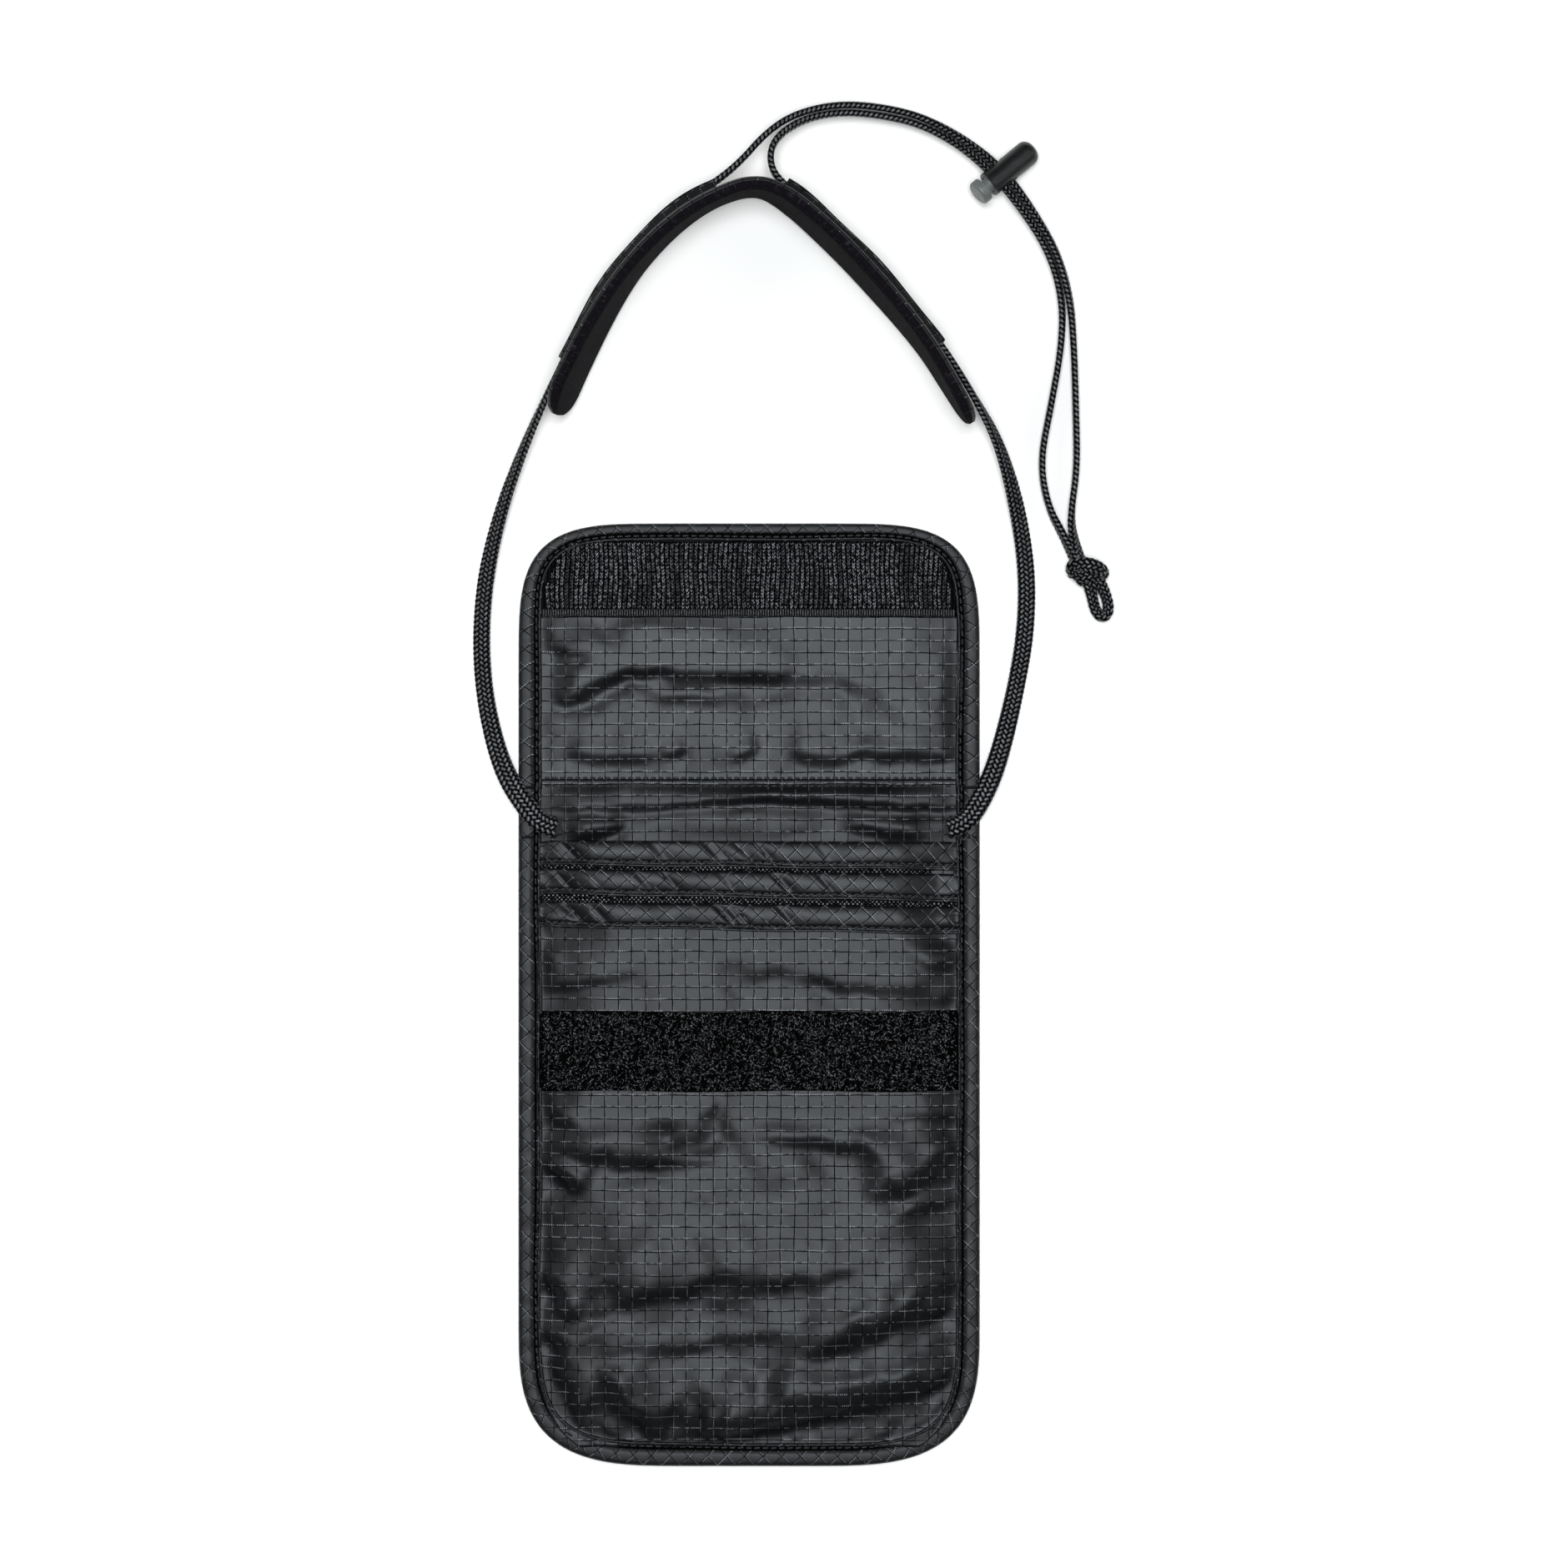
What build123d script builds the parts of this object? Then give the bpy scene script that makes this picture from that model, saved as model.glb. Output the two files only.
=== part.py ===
from build123d import *
import math
import os

# Neck pouch wallet, lying open on a flat surface with its front up.
# Frame: X across the pouch, Y from its bottom edge towards the neck pad, Z up.
# The origin is under the middle of the opened pouch, on the surface. Millimetres.

# ---------------------------------------------------------------- pouch
HALF_WIDTH = 70.0
POUCH_BOTTOM = -143.1
FLAP_TOP = 143.1
BOTTOM_CORNER = 29.0
FLAP_CORNER = 22.0
BINDING_SIDE = 7.0
BINDING_BOTTOM = 7.6
BINDING_FLAP_TOP = 5.0
FOLD_LINE = 54.6
FOLD_START = 47.2
FOLD_END = 63.5

# Layers of the body, from the surface up.
BACK_CLOTH = 0.8
MAIN_POCKET_GAP = 4.4
POCKET_CLOTH = 0.6
POCKET_PITCH = 1.2
TAPE = 1.0
BINDING_WRAP = 0.3
BINDING_EDGE_ROUND = 4.0
BINDING_FACE_ROUND = 1.2

# Mouth of each pocket: height of its upper edge and of its edge tape.
POCKET_MOUTHS = {
    "rear": (46.3, 7.1),
    "middle": (37.6, 6.5),
    "front": (26.8, 6.9),
}
LOOP_STRIP = (-29.0, -4.9)

# Layers of the flap, from the surface up.
FLAP_CLOTH = 0.6
FLAP_LINING = 0.4
FLAP_THICK = 1.8
HOOK_STRIP = (114.7, 137.5)

FOLD_CLOTH = 0.6
TUNNEL = (48.0, 54.2)
TUNNEL_LOW = 0.7
TUNNEL_HIGH = 3.3
TUNNEL_WALL = 0.3
TUNNEL_LEFT = -59.6
TUNNEL_RIGHT = 61.8
ANCHOR_LENGTH = 14.0
ANCHOR_WIDTH = 5.2
ANCHOR_REACH = 1.4
ANCHOR_CLEARANCE = 0.1
BAR_TACK = (2.0, 5.0, 0.8)

# ---------------------------------------------------------------- neck cord
CORD_DIAMETER = 2.4
ARC_SHARE = 0.45

# ---------------------------------------------------------------- neck pad
PAD_MIDDLE = [
    (-58.4, 175.8),
    (-51.8, 190.4),
    (-43.6, 206.4),
    (-33.8, 220.8),
    (-22.4, 232.6),
    (-10.4, 240.3),
    (2.2, 243.2),
    (12.0, 238.9),
    (23.7, 229.1),
    (35.9, 216.7),
    (47.3, 203.6),
    (57.4, 189.9),
    (65.4, 175.4),
]
PAD_HEIGHT = 30.0
PAD_LEAN = 2.5
PAD_RAISE = 15.2
PAD_END_ROUND = 13.0
PAD_CORE_HALF = 1.2
PAD_HALF = 2.0
SLEEVE_OUTER = 5.0
SLEEVE_WALL = 0.2
SLEEVE_LOW = 8.5
SLEEVE_HIGH = 21.5
SLEEVE_HEM = 2.0
SLEEVE_LEFT = (-51.0, -7.6)
SLEEVE_RIGHT = (9.6, 55.5)

# ---------------------------------------------------------------- cord lock
LOCK_CENTRE = (76.3, 248.3, 6.7)
LOCK_HEADING = 40.5
LOCK_TILT = 12.0
BARREL_RADIUS = 3.9
BARREL_OPEN = -5.0
BARREL_CLOSED = 13.0
BARREL_ROUND = 2.6
BORE_RADIUS = 2.7
BORE_END = 11.2
CORD_SLOT_HALF = 2.75
CORD_SLOT_HEIGHT = 2.9
BUTTON_TRAVEL = 1.8
STEM_RADIUS = 2.5
STEM_END = 6.4
NECK_RADIUS = 2.15
NECK_LENGTH = 2.3
BUTTON_RADIUS = 3.8
BUTTON_THICK = 2.6
SPRING_RADIUS = 1.8
SPRING_WIRE = 0.45
SPRING_PITCH = 1.05
SPRING_CLEARANCE = 0.02
STEM_STEP = 0.1
BUTTON_ROUND = 0.87

# Left cord: out of the tunnel, up the left side, through the left sleeve,
# through the cord lock and down to the knot.
CORD_LEFT = [
    (-62.9, 50.8, 2.4),
    (-66.8, 57.2, 3.4),
    (-72.6, 64.2, 3.2),
    (-76.6, 75.0, 1.6),
    (-80.0, 91.0, 1.3),
    (-81.6, 108.5, 1.3),
    (-80.6, 127.5, 1.4),
    (-75.8, 147.5, 2.6),
    (-69.4, 165.8, 7.4),
    (-61.9, 179.4, 12.4),
    (-54.7, 192.4, 15.2),
    (-46.6, 208.2, 15.2),
    (-36.5, 223.0, 15.2),
    (-24.6, 235.3, 15.2),
    (-12.6, 243.2, 15.2),
    (-4.8, 248.6, 14.9),
    (1.4, 260.2, 13.2),
    (12.6, 270.4, 9.8),
    (27.4, 272.0, 6.4),
    (41.4, 270.4, 5.0),
    (54.6, 266.6, 5.6),
    (68.2, 259.7, 6.4),
    (86.4, 238.5, 6.4),
    (94.2, 226.9, 3.6),
    (98.2, 212.6, 1.5),
    (99.9, 196.0, 1.3),
    (99.6, 177.0, 1.3),
    (101.0, 159.0, 1.3),
    (98.8, 145.4, 1.6),
    (100.4, 134.6, 3.2),
]

# Right cord: the same, up the right side; it comes down to the knot on the left.
CORD_RIGHT = [
    (65.1, 50.8, 2.4),
    (68.4, 57.8, 3.4),
    (73.2, 65.6, 3.2),
    (77.0, 77.0, 1.6),
    (81.2, 92.5, 1.3),
    (84.3, 110.0, 1.3),
    (84.6, 129.0, 1.4),
    (81.6, 149.0, 2.6),
    (75.8, 167.2, 8.0),
    (68.2, 180.0, 12.8),
    (60.2, 192.2, 15.2),
    (50.0, 205.8, 15.2),
    (38.4, 219.0, 15.2),
    (26.0, 231.6, 15.2),
    (14.4, 241.5, 15.2),
    (6.2, 248.4, 14.9),
    (5.8, 260.6, 13.4),
    (15.4, 267.0, 9.8),
    (27.6, 269.0, 6.4),
    (40.4, 267.4, 5.2),
    (52.6, 264.0, 5.8),
    (66.2, 258.0, 7.0),
    (84.4, 236.8, 7.0),
    (91.8, 224.9, 4.0),
    (95.4, 211.0, 1.6),
    (94.6, 196.4, 1.3),
    (91.2, 178.0, 1.3),
    (87.2, 161.0, 1.3),
    (91.6, 147.4, 1.4),
    (96.8, 136.6, 2.8),
]
END_BIGHT = [
    (104.2, 127.0, 2.8),
    (103.4, 121.4, 1.6),
    (104.2, 116.4, 1.4),
    (108.6, 116.2, 1.4),
    (108.9, 121.6, 1.6),
    (107.2, 127.2, 2.8),
]
KNOT_CENTRE = (102.3, 129.8, 4.0)
KNOT_SIZE = (12.4, 8.9, 7.6)
KNOT_ROUND = 3.4
KNOT_TURN = -18.0


def rounded_panel(bottom, top, half_width, bottom_radius, top_radius):
    """Outline of a cloth panel with round corners at its bottom or its top."""
    face = Pos(0, (bottom + top) / 2) * Rectangle(2 * half_width, top - bottom)
    if bottom_radius:
        face = fillet(face.vertices().group_by(Axis.Y)[0], bottom_radius)
    if top_radius:
        face = fillet(face.vertices().group_by(Axis.Y)[-1], top_radius)
    return face


def layer(face, low, high):
    """A flat layer of the given outline between two heights."""
    return extrude(Pos(0, 0, low) * face, high - low)


def block(x_range, y_range, z_range):
    """A block between two limits along each axis."""
    size = [limits[1] - limits[0] for limits in (x_range, y_range, z_range)]
    middle = [(limits[0] + limits[1]) / 2 for limits in (x_range, y_range, z_range)]
    return Pos(*middle) * Box(*size)


def corner_radii(points):
    """The largest arc at each corner of a route, from its shorter run and its turn."""
    places = [Vector(*point) for point in points]
    radii = []
    for before, corner, after in zip(places, places[1:], places[2:]):
        turn = math.radians((corner - before).get_angle(after - corner))
        shorter = min((corner - before).length, (after - corner).length)
        radii.append(ARC_SHARE * shorter / math.tan(turn / 2))
    return radii


def cord_tube(name, points):
    """A round tube along straight runs joined by tangent arcs."""
    radii = corner_radii(points)
    path = FilletPolyline(*points, radius=radii)
    start = Plane(origin=path @ 0, z_dir=path % 0)
    tube = sweep(start * Circle(CORD_DIAMETER / 2), path=path)
    expected = math.pi * CORD_DIAMETER**2 / 4 * path.length
    print(f"{name}: length {path.length:.1f} mm, volume / (section x length) {tube.volume / expected:.4f}")
    print("  radii", " ".join(f"{radius:.0f}" for radius in radii))
    return tube


def pouch_parts():
    """Back, three pocket panels with their edge tapes, the loop strip and the outer binding."""
    inner_half = HALF_WIDTH - BINDING_SIDE
    inner_bottom = POUCH_BOTTOM + BINDING_BOTTOM
    inner_corner = BOTTOM_CORNER - BINDING_SIDE

    def inside(top):
        return rounded_panel(inner_bottom, top, inner_half, inner_corner, 0)

    parts = {"back_panel": layer(inside(FOLD_START), 0, BACK_CLOTH)}
    cloth_low = BACK_CLOTH + MAIN_POCKET_GAP
    for name, (mouth, tape_height) in POCKET_MOUTHS.items():
        cloth_high = cloth_low + POCKET_CLOTH
        parts[f"pocket_panel_{name}"] = layer(inside(mouth - BINDING_WRAP), cloth_low, cloth_high)
        tape = block(
            (-inner_half, inner_half),
            (mouth - tape_height, mouth),
            (cloth_low - BINDING_WRAP, cloth_high + BINDING_WRAP),
        )
        parts[f"pocket_binding_{name}"] = tape - parts[f"pocket_panel_{name}"]
        cloth_low += POCKET_PITCH
    body_top = cloth_high + TAPE
    parts["loop_strip"] = block((-inner_half, inner_half), LOOP_STRIP, (cloth_high, body_top))

    outline = rounded_panel(POUCH_BOTTOM, FOLD_START, HALF_WIDTH, BOTTOM_CORNER, 0)
    rim = layer(outline, 0, body_top)
    rim_edges = rim.edges().filter_by(lambda edge: edge.center().Y < FOLD_START - 1)
    rim = fillet(rim_edges.group_by(Axis.Z)[-1], BINDING_EDGE_ROUND)
    rim_edges = rim.edges().filter_by(lambda edge: edge.center().Y < FOLD_START - 1)
    rim = fillet(rim_edges.group_by(Axis.Z)[0], BINDING_FACE_ROUND)
    parts["body_binding"] = rim - layer(inside(FOLD_START), -1, body_top + 1)
    return parts, body_top


def fold_parts():
    """The cloth that folds over, the cord tunnel on it and the sewn-in cord ends."""
    fold = block((-HALF_WIDTH, HALF_WIDTH), (FOLD_START, FOLD_END), (0, FOLD_CLOTH))
    tunnel_body = block((TUNNEL_LEFT, TUNNEL_RIGHT), TUNNEL, (TUNNEL_LOW, TUNNEL_HIGH))
    tunnel_inside = block(
        (TUNNEL_LEFT - 1, TUNNEL_RIGHT + 1),
        (TUNNEL[0] + TUNNEL_WALL, TUNNEL[1] - TUNNEL_WALL),
        (TUNNEL_LOW + TUNNEL_WALL, TUNNEL_HIGH - TUNNEL_WALL),
    )
    parts = {"fold_panel": fold, "cord_tunnel": tunnel_body - tunnel_inside}
    middle = (TUNNEL[0] + TUNNEL[1]) / 2
    low = TUNNEL_LOW + TUNNEL_WALL + ANCHOR_CLEARANCE
    high = TUNNEL_HIGH - TUNNEL_WALL - ANCHOR_CLEARANCE
    tack_width, tack_height, tack_thick = BAR_TACK
    for side, mouth, inward in (("left", TUNNEL_LEFT, 1), ("right", TUNNEL_RIGHT, -1)):
        ends = sorted((mouth - inward * ANCHOR_REACH, mouth + inward * ANCHOR_LENGTH))
        parts[f"cord_end_{side}"] = block(
            ends, (middle - ANCHOR_WIDTH / 2, middle + ANCHOR_WIDTH / 2), (low, high)
        )
        tack_centre = mouth + inward * (ANCHOR_LENGTH - 2 * tack_width)
        parts[f"bar_tack_{side}"] = block(
            (tack_centre - tack_width / 2, tack_centre + tack_width / 2),
            (middle - tack_height / 2, middle + tack_height / 2),
            (TUNNEL_HIGH, TUNNEL_HIGH + tack_thick),
        )
    return parts


def flap_parts():
    """Outer cloth, lining, hook strip and binding of the flap, lying open."""
    inner_half = HALF_WIDTH - BINDING_SIDE
    inner_top = FLAP_TOP - BINDING_FLAP_TOP
    inside = rounded_panel(FOLD_END, inner_top, inner_half, 0, FLAP_CORNER - BINDING_SIDE)
    lining_top = FLAP_CLOTH + FLAP_LINING
    outline = rounded_panel(FOLD_END, FLAP_TOP, HALF_WIDTH, 0, FLAP_CORNER)
    strip = block((-inner_half, inner_half), HOOK_STRIP, (lining_top, FLAP_THICK))
    return {
        "flap_outer": layer(inside, 0, FLAP_CLOTH),
        "flap_lining": layer(inside, FLAP_CLOTH, lining_top),
        "hook_strip": strip & layer(inside, lining_top, FLAP_THICK),
        "flap_binding": layer(outline, 0, FLAP_THICK) - layer(inside, -1, FLAP_THICK + 1),
    }


def pad_parts():
    """Neck pad: fleece face, foam core, cloth back and the two cord sleeves on it."""
    path = FilletPolyline(*PAD_MIDDLE, radius=corner_radii([(x, y, 0) for x, y in PAD_MIDDLE]))
    tangent = path % 0
    start = Plane(origin=path @ 0, x_dir=(-tangent.Y, tangent.X, 0), z_dir=tangent)

    def ribbon(inner, outer, low=0.0, high=PAD_HEIGHT):
        """A leaning band between two distances out from the pad's middle."""
        centre = ((inner + outer) / 2, (low + high) / 2 - PAD_HEIGHT / 2)
        section = Pos(*centre) * Rectangle(outer - inner, high - low)
        section = Pos(0, PAD_RAISE) * Rot(0, 0, -PAD_LEAN) * section
        return sweep(start * section, path=path)

    def end_cutter(end, inward):
        """What rounds the upper and lower corners off one end of the band."""
        reach = 2 * PAD_END_ROUND
        tongue = Pos(reach, PAD_RAISE) * Rectangle(2 * reach, 2 * PAD_RAISE)
        tongue = fillet(tongue.vertices().group_by(Axis.X)[0], PAD_END_ROUND)
        waste = Pos(0, PAD_RAISE) * Rectangle(2 * PAD_END_ROUND, 3 * PAD_RAISE) - tongue
        upright = Plane(origin=end, x_dir=inward, z_dir=(inward.Y, -inward.X, 0))
        return upright * extrude(waste, PAD_HEIGHT / 2, both=True)

    ends = end_cutter(path @ 0, path % 0) + end_cutter(path @ 1, -(path % 1))
    parts = {
        "pad_face": ribbon(-PAD_HALF, -PAD_CORE_HALF) - ends,
        "pad_core": ribbon(-PAD_CORE_HALF, PAD_CORE_HALF) - ends,
        "pad_back": ribbon(PAD_CORE_HALF, PAD_HALF) - ends,
    }
    sleeve = ribbon(PAD_HALF, SLEEVE_OUTER, SLEEVE_LOW, SLEEVE_HIGH) - ribbon(
        PAD_HALF + SLEEVE_WALL,
        SLEEVE_OUTER - SLEEVE_WALL,
        SLEEVE_LOW + SLEEVE_HEM,
        SLEEVE_HIGH - SLEEVE_HEM,
    )
    reach = (PAD_MIDDLE[0][1], PAD_MIDDLE[6][1] + PAD_HEIGHT)
    for side, span in (("left", SLEEVE_LEFT), ("right", SLEEVE_RIGHT)):
        parts[f"pad_sleeve_{side}"] = sleeve & block(span, reach, (0, PAD_RAISE + PAD_HEIGHT))
    return parts


def lock_parts():
    """Spring cord lock: barrel, plunger with its button, and the coil spring between them."""
    heading = math.radians(LOCK_HEADING)
    tilt = math.radians(LOCK_TILT)
    along = (
        math.cos(heading) * math.cos(tilt),
        math.sin(heading) * math.cos(tilt),
        -math.sin(tilt),
    )
    across = (math.sin(heading), -math.cos(heading), 0)
    place = Plane(origin=LOCK_CENTRE, x_dir=across, z_dir=along)

    def round_bar(radius, low, high):
        return Pos(0, 0, (low + high) / 2) * Cylinder(radius, high - low)

    barrel = round_bar(BARREL_RADIUS, BARREL_OPEN, BARREL_CLOSED)
    barrel = fillet(barrel.edges().sort_by(Axis.Z)[-1], BARREL_ROUND)
    barrel = barrel - round_bar(BORE_RADIUS, BARREL_OPEN - 1, BORE_END)
    barrel = barrel - Box(4 * BARREL_RADIUS, CORD_SLOT_HEIGHT, 2 * CORD_SLOT_HALF)

    button_top = BARREL_OPEN - NECK_LENGTH
    button = round_bar(BUTTON_RADIUS, button_top - BUTTON_THICK, button_top)
    button = fillet(button.edges().sort_by(Axis.Z)[0], BUTTON_ROUND)
    neck = round_bar(NECK_RADIUS, button_top, BARREL_OPEN + STEM_STEP)
    stem = round_bar(STEM_RADIUS, BARREL_OPEN + STEM_STEP, STEM_END)
    slot_low = -CORD_SLOT_HALF - BUTTON_TRAVEL
    slot = block(
        (-STEM_RADIUS - 1, STEM_RADIUS + 1),
        (-CORD_SLOT_HEIGHT / 2, CORD_SLOT_HEIGHT / 2),
        (slot_low, CORD_SLOT_HALF),
    )
    plunger = button + neck + stem - slot

    spring_low = STEM_END + SPRING_WIRE / 2 + SPRING_CLEARANCE
    spring_length = BORE_END - STEM_END - SPRING_WIRE - 2 * SPRING_CLEARANCE
    coil = Pos(0, 0, spring_low) * Helix(pitch=SPRING_PITCH, height=spring_length, radius=SPRING_RADIUS)
    wire_start = Plane(origin=coil @ 0, z_dir=coil % 0)
    spring = sweep(wire_start * Circle(SPRING_WIRE / 2), path=coil, is_frenet=True)
    return {
        "lock_barrel": place * barrel,
        "lock_plunger": place * plunger,
        "lock_spring": place * spring,
    }


def knot_parts():
    """The overhand knot that ties both cords together and the loop left beyond it."""
    knot = Box(*KNOT_SIZE)
    knot = fillet(knot.edges(), KNOT_ROUND)
    return {
        "cord_knot": Pos(*KNOT_CENTRE) * Rot(0, 0, KNOT_TURN) * knot,
        "cord_end_loop": cord_tube("cord_end_loop", END_BIGHT),
    }


def main():
    os.makedirs("parts", exist_ok=True)
    parts, body_top = pouch_parts()
    parts.update(fold_parts())
    parts.update(flap_parts())
    parts.update(pad_parts())
    parts.update(lock_parts())
    parts.update(knot_parts())
    parts["cord_left"] = cord_tube("cord_left", CORD_LEFT)
    parts["cord_right"] = cord_tube("cord_right", CORD_RIGHT)
    for name, solid in parts.items():
        export_step(solid, f"parts/{name}.step")
    print(f"{len(parts)} nodes, body {body_top:.1f} mm thick")


main()
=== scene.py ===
import math

import bpy
import numpy as np
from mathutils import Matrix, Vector


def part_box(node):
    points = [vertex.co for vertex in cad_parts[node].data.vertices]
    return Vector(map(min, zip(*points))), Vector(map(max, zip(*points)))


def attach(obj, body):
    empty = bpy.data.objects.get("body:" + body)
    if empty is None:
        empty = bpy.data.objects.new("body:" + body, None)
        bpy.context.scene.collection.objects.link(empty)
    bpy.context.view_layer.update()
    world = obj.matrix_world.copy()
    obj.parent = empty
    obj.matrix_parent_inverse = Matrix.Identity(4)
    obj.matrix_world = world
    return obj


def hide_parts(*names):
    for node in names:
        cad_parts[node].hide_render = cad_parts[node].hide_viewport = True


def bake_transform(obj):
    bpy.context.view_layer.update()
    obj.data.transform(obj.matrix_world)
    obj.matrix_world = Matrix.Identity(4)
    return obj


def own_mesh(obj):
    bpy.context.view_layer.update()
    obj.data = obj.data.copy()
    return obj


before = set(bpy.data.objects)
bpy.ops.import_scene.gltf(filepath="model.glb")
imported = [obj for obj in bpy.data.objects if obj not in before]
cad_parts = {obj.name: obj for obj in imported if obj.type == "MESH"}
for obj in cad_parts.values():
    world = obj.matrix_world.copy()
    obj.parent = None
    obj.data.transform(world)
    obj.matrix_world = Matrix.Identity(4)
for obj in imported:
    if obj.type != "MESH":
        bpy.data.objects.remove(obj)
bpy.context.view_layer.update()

# The looks of the neck pouch wallet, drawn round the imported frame: cloth, bindings, stitches, tapes,
# braided cords, pad and lock. Cloth pieces are height fields over grids, and the rest are lofts.
# Lengths in this file are millimetres in the shared frame, and become metres in add_mesh.
MM = 0.001
UP = np.array([0.0, 0.0, 1.0])
rng = np.random.default_rng(7)


def node_box(node):
    """The low and high corners of a CAD node, in millimetres."""
    return [np.array(corner, float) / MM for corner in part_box(node)]


# ---- places from the frame
rim_low, rim_high = node_box("body_binding")
flap_low, flap_high = node_box("flap_binding")
hook_low, hook_high = node_box("hook_strip")
loop_low, loop_high = node_box("loop_strip")
fold_low, fold_high = node_box("fold_panel")
half_width = rim_high[0]
inner_half = node_box("back_panel")[1][0]
flap_cloth_top = node_box("flap_outer")[1][1]


# ---- meshes
def add_mesh(name, points, faces, material, lay, face_slots=None):
    """A smooth mesh from points in millimetres. lay holds each point's place on its cloth."""
    mesh = bpy.data.meshes.new(name)
    mesh.from_pydata((points * MM).tolist(), [], faces)
    for item in material if isinstance(material, tuple) else (material,):
        mesh.materials.append(item)
    flat = np.zeros((len(points), 3), np.float32)
    flat[:, : lay.shape[1]] = lay
    mesh.attributes.new("lay", "FLOAT_VECTOR", "POINT").data.foreach_set("vector", flat.ravel())
    mesh.polygons.foreach_set("use_smooth", [True] * len(mesh.polygons))
    if face_slots is not None:
        mesh.polygons.foreach_set("material_index", face_slots)
    mesh.update()
    piece = bpy.data.objects.new(name, mesh)
    bpy.context.collection.objects.link(piece)
    return piece


def belongs(piece, slot, body=None, *nodes):
    """Say which body carries a piece and which CAD nodes it stands for. The slot is not used."""
    if body:
        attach(piece, body)
    if nodes:
        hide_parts(*nodes)
    return piece


def grid_faces(rows, columns, start=0, closed=False):
    """Quads of a grid of points stored row by row. A closed grid's last column meets its first."""
    faces = []
    for row in range(rows - 1):
        for column in range(columns if closed else columns - 1):
            here = start + row * columns + column
            right = start + row * columns + (column + 1) % columns
            faces.append((here, right, right + columns, here + columns))
    return faces


def tube_faces(rings, sides, start=0, flip=False):
    """Faces of a tube of rings, with a cap on each end."""
    last = start + (rings - 1) * sides
    faces = grid_faces(rings, sides, start, closed=True)
    faces.append(tuple(start + side for side in reversed(range(sides))))
    faces.append(tuple(last + side for side in range(sides)))
    return [face[::-1] for face in faces] if flip else faces


def closed_shell(name, top, bottom, lay, material):
    """A closed sheet between two grids of points of the same shape."""
    rows, columns = top.shape[:2]
    count = rows * columns
    faces = grid_faces(rows, columns)
    faces += [tuple(count + index for index in reversed(face)) for face in faces]
    index = np.arange(count).reshape(rows, columns)
    rim = np.concatenate([index[0], index[1:, -1], index[-1, -2::-1], index[-2:0:-1, 0]]).tolist()
    for here, there in zip(rim, rim[1:] + rim[:1]):
        faces.append((there, here, count + here, count + there))
    points = np.concatenate([top.reshape(-1, 3), bottom.reshape(-1, 3)])
    return add_mesh(name, points, faces, material, np.concatenate([lay.reshape(count, -1)] * 2))


def cloth_between(name, x, y, top, bottom, material):
    """A closed sheet over a grid of x and y, between two heights."""
    grids = [np.stack(np.broadcast_arrays(x, y, height), 2) for height in (top, bottom)]
    return closed_shell(name, *grids, np.stack([x, y], 2), material)


def loft(name, rings, lay, material, side_slots=None):
    """A closed tube through rings of points, shape (rings, points in a ring, 3)."""
    count, sides = rings.shape[:2]
    slots = None if side_slots is None else side_slots * (count - 1) + [0, 0]
    faces = tube_faces(count, sides, flip=True)
    return add_mesh(name, rings.reshape(-1, 3), faces, material, lay.reshape(count * sides, -1), slots)


def tuft_mesh(name, spines, radius, material, sides=3):
    """Many short fibres as one mesh. spines has the shape (fibres, points, 3)."""
    count, steps = spines.shape[:2]
    ahead = unit(np.gradient(spines, axis=1))
    helper = np.where(np.abs(ahead[..., 2:3]) > 0.9, np.array([1.0, 0, 0]), UP)
    side = unit(np.cross(ahead, helper))
    third = np.cross(side, ahead)
    angles = np.arange(sides) * 2 * math.pi / sides
    cosine, sine = [turn[:, None] * radius for turn in (np.cos(angles), np.sin(angles))]
    ring = spines[:, :, None, :] + side[:, :, None, :] * cosine + third[:, :, None, :] * sine
    faces = []
    for fibre in range(count):
        faces += tube_faces(steps, sides, fibre * steps * sides, flip=True)
    points = ring.reshape(-1, 3)
    return add_mesh(name, points, faces, material, points[:, :2])


# ---- small sums
def smoothstep(value):
    value = np.clip(value, 0, 1)
    return value * value * (3 - 2 * value)


def bell(value):
    return np.exp(-(value**2))


def unit(vectors):
    return vectors / (np.linalg.norm(vectors, axis=-1)[..., None] + 1e-9)


def reach_along(path):
    """The distance along a path to each of its points."""
    return np.concatenate([[0], np.cumsum(np.linalg.norm(np.diff(path[:, :3], axis=0), axis=1))])


def even_steps(path, step):
    """The same path with its points evenly spaced."""
    reach = reach_along(path)
    places = np.linspace(0, reach[-1], int(round(reach[-1] / step)) + 1)
    return np.stack([np.interp(places, reach, column) for column in path.T], 1)


def spread(rows, columns):
    """Places on a cloth from a value for each row and one for each column."""
    return np.stack(np.broadcast_arrays(rows[:, None], columns[None, :]), 2)


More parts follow.
